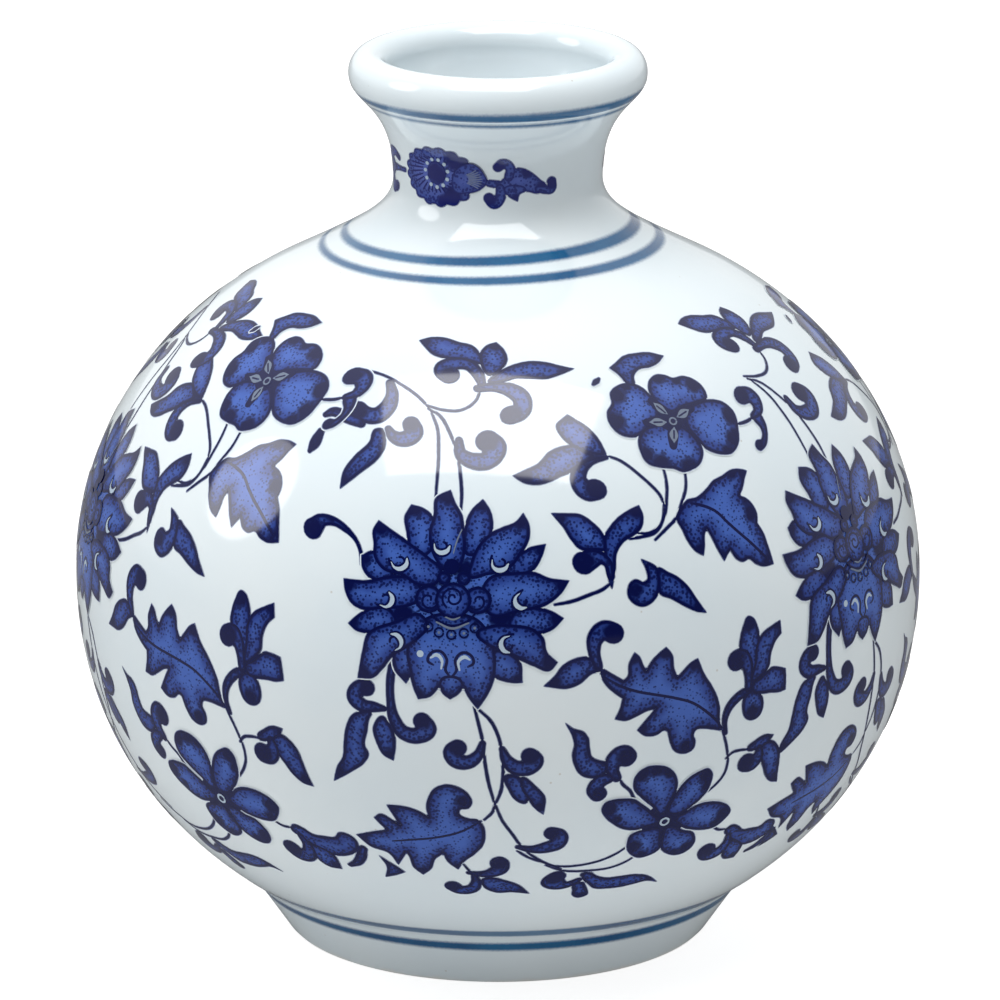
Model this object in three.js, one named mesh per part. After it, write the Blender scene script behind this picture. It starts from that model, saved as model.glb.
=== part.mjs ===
// A small ball-shaped porcelain vase, in millimetres, +Z up, standing on z = 0 with its axis on Z.
//
// The potter makes it in sections that are luted together with slip on flat beds before firing:
// a turned foot ring, a lower bowl with the floor, an upper bowl with the shoulder, a neck, and a
// rolled lip. Each section here is one closed ring (the lower bowl is a cup), and neighbours share
// the flat plane of their bed.
import * as THREE from "three";

// ---- Driving dimensions -------------------------------------------------------------------------
const BELLY_RADIUS = 49.75; // widest radius of the ball
const BELLY_RISE = 36.1; // the widest point, above the foot's bed
const CROWN_RISE = 42.7; // from the belly up to where the ball would close
const CROWN_FULLNESS = 2.05; // exponent of the upper outline: 2 is an ellipse, more is squarer
const POLE_BELOW_BED = 8.0; // where the ball would close at the bottom, below the foot's bed
const BASE_FULLNESS = 2.09; // exponent of the lower outline

const SHOULDER_RADIUS = 26.0; // where the ball's outline turns up into the neck
const SHOULDER_SWEEP = 10.2; // how far the turn still follows the ball
const WAIST_RADIUS = 12.2; // narrowest radius of the neck
const WAIST_RISE = 5.1; // the waist, above the height where the ball would close
const WAIST_SWEEP_BELOW = 4.1; // straight-ish stretch just under the waist
const WAIST_SWEEP_ABOVE = 7.2; // and just above it
const NECK_BED_DROP = 6.8; // the neck's bed, below the waist and between the two painted rings

const LIP_RISE = 12.3; // centre of the rolled lip's oval section, above the waist
const LIP_OVERHANG = 2.95; // and outside the waist
const LIP_HALF_WIDTH = 2.25;
const LIP_HALF_DEPTH = 2.6;
const LIP_SPRING_ANGLE = -0.62; // where the neck's flare runs into the roll, radians from level
const LIP_SWEEP = 2.2; // length of the flare's run into the roll
const LIP_BED_DROP = 1.9; // the lip's bed, below the centre of the roll

const BODY_WALL = 3.2;
const NECK_WALL = 2.9;
const FLOOR_THICKNESS = 3.4;

const FOOT_HEIGHT = 6.9; // table to the bed under the bowl
const FOOT_BASE_RADIUS = 25.1; // outer radius at the table
const FOOT_WALL = 3.6; // at the table
const FOOT_RECESS_TAPER = 1.0; // how much narrower the recess is at its roof
const FOOT_EDGE = 0.45; // bevel on both edges of the standing face

const SEGMENTS = 48; // facets around the axis
const BALL_STEPS = 10; // facets up each half of the ball
const TURN_STEPS = 8; // facets in each turn of the neck
const LIP_STEPS = 10; // facets around the roll

// ---- Heights and radii that follow --------------------------------------------------------------
const BELLY_HEIGHT = FOOT_HEIGHT + BELLY_RISE;
const BASE_DROP = BELLY_RISE + POLE_BELOW_BED;
const WAIST_HEIGHT = BELLY_HEIGHT + CROWN_RISE + WAIST_RISE;
const NECK_BED_HEIGHT = WAIST_HEIGHT - NECK_BED_DROP;
const LIP_HEIGHT = WAIST_HEIGHT + LIP_RISE;
const LIP_RADIUS = WAIST_RADIUS + LIP_OVERHANG;
const LIP_BED_HEIGHT = LIP_HEIGHT - LIP_BED_DROP;

// ---- Outline curves, as (radius, height) --------------------------------------------------------

// A quarter of a superellipse, from its level point (angle 0) towards its pole (angle PI / 2).
function ballPoint(angle, radius, height, fullness) {
  const power = 2 / fullness;
  return new THREE.Vector2(radius * Math.cos(angle) ** power, height * Math.sin(angle) ** power);
}

// The angle at which that quarter has come in to a given radius.
function ballAngle(radius, widest, fullness) {
  return Math.acos((radius / widest) ** (fullness / 2));
}

// The lower half of the ball, inset by a wall, from angle `from` below the belly up to the belly.
function lowerBall(inset, from) {
  const points = [];
  for (let i = 0; i <= BALL_STEPS; i += 1) {
    const angle = from * (1 - i / BALL_STEPS);
    const p = ballPoint(angle, BELLY_RADIUS - inset, BASE_DROP - inset, BASE_FULLNESS);
    points.push(new THREE.Vector2(p.x, BELLY_HEIGHT - p.y));
  }
  return points;
}

// The angle below the belly at which the lower half, inset by a wall, is at a given height.
function lowerAngleAt(height, inset) {
  return Math.asin(((BELLY_HEIGHT - height) / (BASE_DROP - inset)) ** (BASE_FULLNESS / 2));
}

// The upper half of the ball from the belly to the shoulder, then the turn up to the waist.
function upperBallAndShoulder(ballInset, neckInset) {
  const widest = BELLY_RADIUS - ballInset;
  const rise = CROWN_RISE - ballInset;
  const last = ballAngle(SHOULDER_RADIUS - ballInset / 2, widest, CROWN_FULLNESS);
  const points = [];
  for (let i = 0; i <= BALL_STEPS; i += 1) {
    const p = ballPoint((last * i) / BALL_STEPS, widest, rise, CROWN_FULLNESS);
    points.push(new THREE.Vector2(p.x, BELLY_HEIGHT + p.y));
  }
  const before = ballPoint(last - 1e-4, widest, rise, CROWN_FULLNESS);
  const start = points[points.length - 1];
  const heading = new THREE.Vector2(start.x - before.x, start.y - BELLY_HEIGHT - before.y).normalize();
  const waist = new THREE.Vector2(WAIST_RADIUS - neckInset, WAIST_HEIGHT);
  const turn = new THREE.CubicBezierCurve(
    start,
    start.clone().addScaledVector(heading, SHOULDER_SWEEP),
    new THREE.Vector2(waist.x, waist.y - WAIST_SWEEP_BELOW),
    waist,
  );
  return points.concat(turn.getPoints(TURN_STEPS).slice(1));
}

// A point on the rolled lip's oval, by its angle from the outward level.
function lipPoint(angle) {
  return new THREE.Vector2(
    LIP_RADIUS + LIP_HALF_WIDTH * Math.cos(angle),
    LIP_HEIGHT + LIP_HALF_DEPTH * Math.sin(angle),
  );
}

// The neck's outer flare, from the waist to where it runs into the roll.
function outerFlare() {
  const end = lipPoint(LIP_SPRING_ANGLE);
  const heading = new THREE.Vector2(
    -LIP_HALF_WIDTH * Math.sin(LIP_SPRING_ANGLE),
    LIP_HALF_DEPTH * Math.cos(LIP_SPRING_ANGLE),
  ).normalize();
  return new THREE.CubicBezierCurve(
    new THREE.Vector2(WAIST_RADIUS, WAIST_HEIGHT),
    new THREE.Vector2(WAIST_RADIUS, WAIST_HEIGHT + WAIST_SWEEP_ABOVE),
    end.clone().addScaledVector(heading, -LIP_SWEEP),
    end,
  ).getPoints(TURN_STEPS);
}

// The throat, from the waist up to the inner side of the roll.
function innerFlare() {
  const end = lipPoint(Math.PI);
  return new THREE.CubicBezierCurve(
    new THREE.Vector2(WAIST_RADIUS - NECK_WALL, WAIST_HEIGHT),
    new THREE.Vector2(WAIST_RADIUS - NECK_WALL, WAIST_HEIGHT + WAIST_SWEEP_ABOVE / 2),
    new THREE.Vector2(end.x, end.y - WAIST_SWEEP_ABOVE / 2),
    end,
  ).getPoints(TURN_STEPS);
}

// The stretch of an upward outline between two heights, with its ends cut exactly level.
function between(outline, low, high) {
  const cut = [];
  const crossing = (a, b, height) =>
    new THREE.Vector2(a.x + ((b.x - a.x) * (height - a.y)) / (b.y - a.y), height);
  outline.forEach((point, i) => {
    const next = outline[i + 1];
    if (point.y >= low && point.y <= high) cut.push(point);
    if (!next) return;
    if (point.y < low && next.y > low) cut.push(crossing(point, next, low));
    if (point.y < high && next.y > high) cut.push(crossing(point, next, high));
  });
  return cut;
}

// ---- Sections -----------------------------------------------------------------------------------
const outerAboveBelly = upperBallAndShoulder(0, 0).concat(outerFlare().slice(1));
const innerAboveBelly = upperBallAndShoulder(BODY_WALL, NECK_WALL).concat(innerFlare().slice(1));
// A ring between two beds: out along the lower bed, up the outside, and down the inside.
function wallRing(low, high) {
  return between(outerAboveBelly, low, high).concat(between(innerAboveBelly, low, high).reverse());
}

function footRingSection() {
  const bowlAtBed = lowerBall(0, lowerAngleAt(FOOT_HEIGHT, 0))[0];
  const recess = FOOT_BASE_RADIUS - FOOT_WALL;
  const slope = (bowlAtBed.x - FOOT_BASE_RADIUS) / FOOT_HEIGHT;
  return [
    new THREE.Vector2(FOOT_BASE_RADIUS - FOOT_EDGE, 0),
    new THREE.Vector2(FOOT_BASE_RADIUS + slope * FOOT_EDGE, FOOT_EDGE),
    bowlAtBed,
    new THREE.Vector2(recess - FOOT_RECESS_TAPER, FOOT_HEIGHT),
    new THREE.Vector2(recess, FOOT_EDGE),
    new THREE.Vector2(recess + FOOT_EDGE, 0),
  ];
}

function lowerBowlSection() {
  const floorTop = FOOT_HEIGHT + FLOOR_THICKNESS;
  const outside = lowerBall(0, lowerAngleAt(FOOT_HEIGHT, 0));
  const inside = lowerBall(BODY_WALL, lowerAngleAt(floorTop, BODY_WALL)).reverse();
  const floorEdge = [new THREE.Vector2(0, FOOT_HEIGHT)];
  const floorCentre = [new THREE.Vector2(0, floorTop)];
  return floorEdge.concat(outside, inside, floorCentre);
}

function lipSection() {
  const flare = between(outerFlare(), LIP_BED_HEIGHT, LIP_HEIGHT);
  const throat = between(innerFlare(), LIP_BED_HEIGHT, LIP_HEIGHT).reverse();
  const roll = [];
  for (let i = 1; i < LIP_STEPS; i += 1) {
    roll.push(lipPoint(LIP_SPRING_ANGLE + ((Math.PI - LIP_SPRING_ANGLE) * i) / LIP_STEPS));
  }
  return flare.concat(roll, throat);
}

// Turns a section about the vase's axis. A section that doesn't reach the axis is closed on itself.
function turned(section) {
  const profile = section[0].x > 0 ? section.concat([section[0].clone()]) : section;
  const geometry = new THREE.LatheGeometry(profile, SEGMENTS);
  geometry.rotateX(Math.PI / 2);
  return geometry;
}

function porcelain(color, roughness) {
  return new THREE.MeshStandardMaterial({ color, roughness, metalness: 0 });
}

function piece(name, section, material) {
  const mesh = new THREE.Mesh(turned(section), material);
  mesh.name = name;
  return mesh;
}

const vase = new THREE.Group();
vase.name = "porcelain_vase";
vase.add(
  piece("foot_ring", footRingSection(), porcelain(0xdcdcd6, 0.35)),
  piece("lower_body", lowerBowlSection(), porcelain(0xe2e9ec, 0.12)),
  piece("upper_body", wallRing(BELLY_HEIGHT, NECK_BED_HEIGHT), porcelain(0xe8eff2, 0.12)),
  piece("neck", wallRing(NECK_BED_HEIGHT, LIP_BED_HEIGHT), porcelain(0xe4ecef, 0.12)),
  piece("lip_ring", lipSection(), porcelain(0xeff5f7, 0.12)),
);

export default vase;
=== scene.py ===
"""A small ball-shaped porcelain vase with lotus scrolls painted in cobalt under the glaze.

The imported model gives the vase's place and main sizes. This script turns its smooth porcelain
sections, paints the flowers, scrolls and bands on them, and sets the table, the lights and the camera.
"""

import logging
import math
from dataclasses import dataclass, field, replace
from enum import Enum
from typing import Sequence

import bpy
import numpy as np
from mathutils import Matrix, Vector
from mathutils.geometry import delaunay_2d_cdt


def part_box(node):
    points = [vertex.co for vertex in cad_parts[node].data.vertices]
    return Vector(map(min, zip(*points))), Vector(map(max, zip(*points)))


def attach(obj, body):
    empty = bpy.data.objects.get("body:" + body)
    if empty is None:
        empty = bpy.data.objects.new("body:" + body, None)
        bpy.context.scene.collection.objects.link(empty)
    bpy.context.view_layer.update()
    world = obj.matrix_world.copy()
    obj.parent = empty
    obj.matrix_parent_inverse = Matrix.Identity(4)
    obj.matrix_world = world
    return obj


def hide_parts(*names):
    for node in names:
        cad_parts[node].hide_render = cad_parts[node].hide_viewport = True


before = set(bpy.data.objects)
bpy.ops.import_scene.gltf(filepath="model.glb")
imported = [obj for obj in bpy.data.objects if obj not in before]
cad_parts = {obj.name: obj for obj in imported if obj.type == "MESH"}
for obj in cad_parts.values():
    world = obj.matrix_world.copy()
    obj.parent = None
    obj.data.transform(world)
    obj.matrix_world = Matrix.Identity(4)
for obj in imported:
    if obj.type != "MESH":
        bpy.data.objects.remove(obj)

LOG = logging.getLogger("vase")
MM = 0.001
BODY = "root"
TAU = 2.0 * math.pi

Knot = tuple[float, ...]
Colour = tuple[float, float, float, float]
Range = tuple[float, float]


def bezier(
    start: np.ndarray, first: np.ndarray, second: np.ndarray, end: np.ndarray, steps: int
) -> np.ndarray:
    """Points along a cubic curve.

    Args:
        start: Where the curve starts.
        first: The handle at the start.
        second: The handle at the end.
        end: Where the curve ends.
        steps: How many points to give.

    Returns:
        The points, both ends included.
    """
    t = np.linspace(0.0, 1.0, steps)[:, None]
    return (
        (1 - t) ** 3 * start
        + 3 * (1 - t) ** 2 * t * first
        + 3 * (1 - t) * t**2 * second
        + t**3 * end
    )


# ---- The turned form ----
class Outline:
    """One turned outline as radius and height, measured by its length from its widest point."""

    def __init__(self, points: np.ndarray) -> None:
        """Measures the outline.

        Args:
            points: Radius and height of each point in millimetres, in order.
        """
        self.points = points
        length = np.concatenate([[0.0], np.cumsum(np.hypot(*np.diff(points, axis=0).T))])
        self.arc = length - length[int(np.argmax(points[:, 0]))]
        slope = np.gradient(points, self.arc, axis=0)
        size = np.hypot(slope[:, 0], slope[:, 1])[:, None]
        self.normals = np.column_stack([slope[:, 1], -slope[:, 0]]) / size

    def at(self, arc: np.ndarray) -> np.ndarray:
        """Looks up the outline by length.

        Args:
            arc: Lengths from the widest point, up being positive.

        Returns:
            Columns of radius, height, and the normal's outward and upward parts.
        """
        table = np.hstack([self.points, self.normals])
        found = np.column_stack([np.interp(arc, self.arc, column) for column in table.T])
        found[:, 2:] /= np.hypot(found[:, 2], found[:, 3])[:, None]
        return found

    def arc_at(self, height: float) -> float:
        """The length at a height, on the stretch that goes up to the highest point."""
        rising = int(np.argmax(self.points[:, 1]))
        return float(np.interp(height, self.points[:rising, 1], self.arc[:rising]))

    def rows(self, low: float, high: float, pitch: float) -> np.ndarray:
        """Evenly spaced rows between two lengths, as `at` gives them."""
        count = max(2, int(abs(high - low) / pitch) + 1)
        return self.at(np.linspace(low, high, count))


@dataclass
class TurnedForm:
    """The vase's outer and inner outlines in millimetres.

    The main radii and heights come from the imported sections. The fullness of the ball, the sweeps of
    the neck and the walls are the potter's own.
    """

    crown_fullness: float = 2.05
    base_fullness: float = 2.09
    crown_rise: float = 42.7
    pole_below_bed: float = 8.0
    shoulder_radius: float = 26.0
    shoulder_sweep: float = 10.2
    waist_radius: float = 12.2
    waist_below_lip: float = 12.3
    waist_sweep_below: float = 4.1
    waist_sweep_above: float = 7.2
    lip_half_width: float = 2.25
    lip_half_depth: float = 2.6
    lip_spring_angle: float = -0.62
    lip_sweep: float = 2.2
    foot_base_radius: float = 25.1
    foot_edge: float = 0.45
    foot_wall: float = 3.6
    recess_taper: float = 1.0
    glaze_fillet: float = 1.1
    body_wall: float = 3.2
    neck_wall: float = 2.9
    floor_thickness: float = 3.4
    steps: int = 120

    def __post_init__(self) -> None:
        """Reads the sections' boxes and lays out both outlines."""
        lip_low, lip_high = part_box("lip_ring")
        self.foot_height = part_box("foot_ring")[1][2] / MM
        self.belly_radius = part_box("lower_body")[1][0] / MM
        self.belly_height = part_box("lower_body")[1][2] / MM
        self.neck_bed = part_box("neck")[0][2] / MM
        self.lip_bed = lip_low[2] / MM
        self.lip_radius = lip_high[0] / MM - self.lip_half_width
        self.lip_height = lip_high[2] / MM - self.lip_half_depth
        self.waist_height = self.lip_height - self.waist_below_lip
        self.base_drop = self.belly_height - self.foot_height + self.pole_below_bed
        self.outer = Outline(self._outside())
        self.inner = Outline(self._inside())

    def _base(self, inset: float, from_height: float) -> np.ndarray:
        """The lower half of the ball, inset by a wall, from a height up to the belly.

        Args:
            inset: The wall to take off.
            from_height: Where it starts.

        Returns:
            Radius and height of each point.
        """
        power = 2.0 / self.base_fullness
        drop = self.base_drop - inset
        turn = math.asin(((self.belly_height - from_height) / drop) ** (1.0 / power))
        angle = np.linspace(turn, 0.0, self.steps)
        radius = (self.belly_radius - inset) * np.cos(angle) ** power
        return np.column_stack([radius, self.belly_height - drop * np.sin(angle) ** power])

    def _crown(self, ball_inset: float, neck_inset: float) -> np.ndarray:
        """The upper half of the ball, inset by a wall, and the turn up to the waist.

        Args:
            ball_inset: The wall to take off the ball.
            neck_inset: The wall to take off the waist.

        Returns:
            Radius and height of each point.
        """
        power = 2.0 / self.crown_fullness
        widest = self.belly_radius - ball_inset
        rise = self.crown_rise - ball_inset
        turn = math.acos(((self.shoulder_radius - ball_inset / 2) / widest) ** (1.0 / power))
        angle = np.linspace(0.0, turn, self.steps)
        ball = np.column_stack(
            [widest * np.cos(angle) ** power, self.belly_height + rise * np.sin(angle) ** power]
        )
        heading = (ball[-1] - ball[-2]) / np.linalg.norm(ball[-1] - ball[-2])
        waist = np.array([self.waist_radius - neck_inset, self.waist_height])
        below = waist - [0.0, self.waist_sweep_below]
        neck = bezier(ball[-1], ball[-1] + heading * self.shoulder_sweep, below, waist, self.steps)
        return np.vstack([ball, neck[1:]])

    def _lip(self, angle: np.ndarray) -> np.ndarray:
        """Points of the rolled lip's oval, by angle from its outward level."""
        radius = self.lip_radius + self.lip_half_width * np.cos(angle)
        return np.column_stack([radius, self.lip_height + self.lip_half_depth * np.sin(angle)])

    def _outside(self) -> np.ndarray:
        """The outside, from the table over the belly and the lip to the lip's inner side.

        Returns:
            Radius and height of each point.
        """
        base = self._base(0.0, self.foot_height)
        foot = np.linspace([self.foot_base_radius, 0.0], base[0], self.steps)
        before = foot[np.linalg.norm(foot - base[0], axis=1) > self.glaze_fillet]
        after = base[np.linalg.norm(base - base[0], axis=1) > self.glaze_fillet]
        pooled = bezier(before[-1], base[0], base[0], after[0], self.steps // 8)
        spring_angle = np.array([self.lip_spring_angle])
        spring = self._lip(spring_angle)[0]
        run = (self._lip(spring_angle + 0.01) - self._lip(spring_angle))[0]
        run *= self.lip_sweep / np.linalg.norm(run)
        waist = np.array([self.waist_radius, self.waist_height])
        above = waist + [0.0, self.waist_sweep_above]
        flare = bezier(waist, above, spring - run, spring, self.steps)
        roll = self._lip(np.linspace(self.lip_spring_angle, math.pi, self.steps))
        crown = self._crown(0.0, 0.0)
        return np.vstack([before, pooled[1:-1], after, crown[1:], flare[1:], roll[1:]])

    def _inside(self) -> np.ndarray:
        """The inside, from the floor up the walls and the throat to the lip's inner side.

        Returns:
            Radius and height of each point.
        """
        base = self._base(self.body_wall, self.foot_height + self.floor_thickness)
        crown = self._crown(self.body_wall, self.neck_wall)
        waist = crown[-1]
        end = self._lip(np.array([math.pi]))[0]
        sweep = np.array([0.0, self.waist_sweep_above / 2])
        flare = bezier(waist, waist + sweep, end - sweep, end, self.steps)
        return np.vstack([base, crown[1:], flare[1:]])


# ---- Meshes ----
def mesh_object(
    name: str,
    vertices: np.ndarray,
    faces: Sequence[Sequence[int]],
    normals: np.ndarray,
    material: bpy.types.Material,
    values: dict[str, np.ndarray] | None = None,
) -> bpy.types.Object:
    """Makes a smooth mesh object whose shading follows the true surface.

    Args:
        name: The object's name.
        vertices: Positions in millimetres.
        faces: Corner indices of each face.
        normals: One normal per vertex, or one per face corner.
        material: The finish.
        values: Named numbers, one per vertex, that the finish reads.

    Returns:
        The object, linked to the scene and riding on the vase.
    """
    mesh = bpy.data.meshes.new(name)
    mesh.from_pydata((vertices * MM).tolist(), [], [list(face) for face in faces])
    mesh.polygons.foreach_set("use_smooth", [True] * len(mesh.polygons))
    for key, numbers in (values or {}).items():
        attribute = mesh.attributes.new(key, "FLOAT", "POINT")
        attribute.data.foreach_set("value", np.asarray(numbers, dtype=np.float32))
    mesh.materials.append(material)
    mesh.update()
    if len(normals) == len(vertices):
        mesh.normals_split_custom_set_from_vertices(normals.tolist())
    else:
        mesh.normals_split_custom_set(normals.tolist())
    thing = bpy.data.objects.new(name, mesh)
    bpy.context.scene.collection.objects.link(thing)
    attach(thing, BODY)
    return thing


def flat_run(start: Sequence[float], end: Sequence[float], up: float) -> np.ndarray:
    """A level run of a section, with its normal straight up (1) or down (-1)."""
    return np.array([[*start, 0.0, up], [*end, 0.0, up]])


def turned_object(
    name: str, runs: Sequence[np.ndarray], material: bpy.types.Material, segments: int
) -> bpy.types.Object:
    """Turns a closed section about the axis.

    Args:
        name: The object's name.
        runs: The section's smooth runs, each starting where the last one ends. Each row is radius,
            height, and the normal's outward and upward parts. A section may start and end on the axis.
        material: The finish.
        segments: How many flats make the full turn.

    Returns:
        The closed ring or cup.
    """
    on_axis = runs[0][0][0] == 0.0
    rows = [runs[0][0, :2]]
    spans = []
    for run in runs:
        for lower, upper in zip(run[:-1], run[1:]):
            rows.append(upper[:2])
            spans.append((len(rows) - 2, len(rows) - 1, lower[2:], upper[2:]))
    if not on_axis:
        rows.pop()
        spans[-1] = (spans[-1][0], 0, spans[-1][2], spans[-1][3])
    turn = np.arange(segments) * TAU / segments
    around = np.column_stack([np.sin(turn), -np.cos(turn)])
    vertices: list[np.ndarray] = []
    first = []
    for radius, height in rows:
        first.append(len(vertices))
        if radius == 0.0:
            vertices.append(np.array([0.0, 0.0, height]))
        else:
            vertices.extend(np.column_stack([around * radius, np.full(segments, height)]))
    faces = []
    normals = []
    for low, high, low_normal, high_normal in spans:
        for step in range(segments):
            after = (step + 1) % segments
            corners = [(low, step, low_normal), (low, after, low_normal)]
            if rows[low][0] == 0.0:
                corners = corners[:1]
            if rows[high][0] == 0.0:
                corners.append((high, step, high_normal))
            else:
                corners += [(high, after, high_normal), (high, step, high_normal)]
            face = []
            for row, spot, (outward, upward) in corners:
                face.append(first[row] + (0 if rows[row][0] == 0.0 else spot))
                normals.append([*(around[spot] * outward), upward])
            faces.append(face)
    return mesh_object(name, np.array(vertices), faces, np.array(normals), material)


# ---- Finishes ----
class Paint:
    """A material's node tree, with short calls for the nodes that the finishes use."""

    def __init__(self, name: str) -> None:
        """Starts a material with its shader.

        Args:
            name: The material's name.
        """
        self.material = bpy.data.materials.new(name)
        self.material.use_nodes = True
        self.tree = self.material.node_tree
        self.tree.nodes.clear()
        self.shader = self.tree.nodes.new("ShaderNodeBsdfPrincipled")
        out = self.tree.nodes.new("ShaderNodeOutputMaterial")
        self.tree.links.new(self.shader.outputs["BSDF"], out.inputs["Surface"])
        self.place = self.tree.nodes.new("ShaderNodeTexCoord").outputs["Object"]

    def feed(self, socket: bpy.types.NodeSocket, value: object) -> None:
        """Sets a socket to a number or colour, or links another socket to it.

        Args:
            socket: The input to set.
            value: A number, a colour or an output socket.
        """
        if isinstance(value, bpy.types.NodeSocket):
            self.tree.links.new(value, socket)
        else:
            socket.default_value = value

    def math(self, operation: str, *values: object) -> bpy.types.NodeSocket:
        """A Math node on the values given.

        Args:
            operation: The node's operation.
            values: Its inputs in order.

        Returns:
            The result.
        """
        node = self.tree.nodes.new("ShaderNodeMath")
        node.operation = operation
        for socket, value in zip(node.inputs, values):
            self.feed(socket, value)
        return node.outputs[0]

    def step(self, value: object, low: object, high: object) -> bpy.types.NodeSocket:
        """A smooth step from 0 at `low` to 1 at `high`.

        Args:
            value: What is measured.
            low: Where the step starts.
            high: Where it ends.

        Returns:
            The step's height.
        """
        node = self.tree.nodes.new("ShaderNodeMapRange")
        node.interpolation_type = "SMOOTHSTEP"
        self.feed(node.inputs["Value"], value)
        self.feed(node.inputs["From Min"], low)
        self.feed(node.inputs["From Max"], high)
        return node.outputs["Result"]

    def mix(self, share: object, first: object, second: object) -> bpy.types.NodeSocket:
        """A colour between two, by share.

        Args:
            share: The second colour's share.
            first: One colour.
            second: The other.

        Returns:
            The mixed colour.
        """
        node = self.tree.nodes.new("ShaderNodeMix")
        node.data_type = "RGBA"
        self.feed(node.inputs["Factor"], share)
        self.feed(node.inputs["A"], first)
        self.feed(node.inputs["B"], second)
        return node.outputs["Result"]

    def value(self, name: str) -> bpy.types.NodeSocket:
        """A number painted on the mesh's vertices.

        Args:
            name: The number's name.

        Returns:
            The number.
        """
        node = self.tree.nodes.new("ShaderNodeAttribute")
        node.attribute_name = name
        return node.outputs["Fac"]

    def noise(self, size_mm: float, detail: float = 2.0) -> bpy.types.NodeSocket:
        """Soft noise from 0 to 1 with features of about the given size.

        Args:
            size_mm: The features' size.
            detail: How many finer layers it has.

        Returns:
            The noise.
        """
        node = self.tree.nodes.new("ShaderNodeTexNoise")
        self.feed(node.inputs["Vector"], self.place)
        node.inputs["Scale"].default_value = 1.0 / (size_mm * MM)
        node.inputs["Detail"].default_value = detail
        return node.outputs["Fac"]

    def dots(self, size_mm: float) -> bpy.types.NodeSocket:
        """Distance to the nearest scattered dot, in units of the dots' spacing.

        Args:
            size_mm: The dots' spacing.

        Returns:
            The distance.
        """
        node = self.tree.nodes.new("ShaderNodeTexVoronoi")
        self.feed(node.inputs["Vector"], self.place)
        node.inputs["Scale"].default_value = 1.0 / (size_mm * MM)
        return node.outputs["Distance"]

    def height(self) -> bpy.types.NodeSocket:
        """The height above the table, in metres.

        Returns:
            The height.
        """
        node = self.tree.nodes.new("ShaderNodeSeparateXYZ")
        self.feed(node.inputs["Vector"], self.place)
        return node.outputs["Z"]

    def bump(self, height: bpy.types.NodeSocket, depth_mm: float) -> None:
        """Ripples the surface by a height from 0 to 1, scaled to a depth.

        Args:
            height: The height.
            depth_mm: The depth of a full ripple.
        """
        node = self.tree.nodes.new("ShaderNodeBump")
        node.inputs["Distance"].default_value = depth_mm * MM
        self.feed(node.inputs["Height"], height)
        self.feed(self.shader.inputs["Normal"], node.outputs["Normal"])


@dataclass(frozen=True)
class Porcelain:
    """Blue-white porcelain under a glossy glaze, with a bare biscuit edge at the foot."""

    glaze: Colour = (0.735, 0.818, 0.858, 1.0)
    glaze_thin: Colour = (0.775, 0.845, 0.872, 1.0)
    biscuit: Colour = (0.76, 0.74, 0.69, 1.0)
    speck: Colour = (0.50, 0.47, 0.42, 1.0)
    cloud_size_mm: float = 24.0
    cloud_ramp: Range = (0.35, 0.68)
    speck_spacing_mm: float = 5.5
    speck_ramp: Range = (0.032, 0.018)
    speck_strength: float = 0.55
    biscuit_top_mm: float = 0.5
    biscuit_fade_mm: Range = (0.9, -0.5)
    biscuit_wander_mm: float = 1.2
    glaze_ior: float = 1.6
    glaze_roughness: float = 0.07
    roughness_change: Range = (-0.02, 0.05)
    biscuit_roughness: float = 0.55
    glaze_ripple_mm: float = 0.012
    ripple_size_mm: float = 7.0

    def colour(self, paint: Paint) -> bpy.types.NodeSocket:
        """The body's colour: clouded glaze, a few specks, and biscuit at the standing edge.

        Args:
            paint: The node tree to add to.

        Returns:
            The colour socket.
        """
        clouds = paint.step(paint.noise(self.cloud_size_mm, 3.0), *self.cloud_ramp)
        clean = paint.mix(clouds, self.glaze, self.glaze_thin)
        speck = paint.step(paint.dots(self.speck_spacing_mm), *self.speck_ramp)
        speck = paint.math("MULTIPLY", speck, self.speck_strength)
        return paint.mix(self.bare(paint), paint.mix(speck, clean, self.speck), self.biscuit)

    def bare(self, paint: Paint) -> bpy.types.NodeSocket:
        """How bare of glaze the clay is, from 0 to 1 at the foot's edge."""
        ragged = paint.math("MULTIPLY_ADD", paint.noise(3.0), self.biscuit_wander_mm * MM, paint.height())
        return paint.step(ragged, *[(self.biscuit_top_mm + end) * MM for end in self.biscuit_fade_mm])

    def dress(self, paint: Paint, colour: bpy.types.NodeSocket) -> bpy.types.Material:
        """Gives a colour the glaze's gloss and ripple.

        Args:
            paint: The node tree to finish.
            colour: What shows through the glaze.

        Returns:
            The finished material.
        """
        paint.feed(paint.shader.inputs["Base Color"], colour)
        least, change = self.roughness_change
        wear = paint.math("MULTIPLY_ADD", paint.noise(1.7, 4.0), change, self.glaze_roughness + least)
        dry = paint.math("MULTIPLY", self.bare(paint), self.biscuit_roughness)
        paint.feed(paint.shader.inputs["Roughness"], paint.math("ADD", wear, dry))
        paint.shader.inputs["IOR"].default_value = self.glaze_ior
        paint.bump(paint.noise(self.ripple_size_mm, 1.0), self.glaze_ripple_mm)
        return paint.material

    def material(self) -> bpy.types.Material:
        """The plain porcelain."""
        paint = Paint("blue_white_porcelain")
        return self.dress(paint, self.colour(paint))


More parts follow.
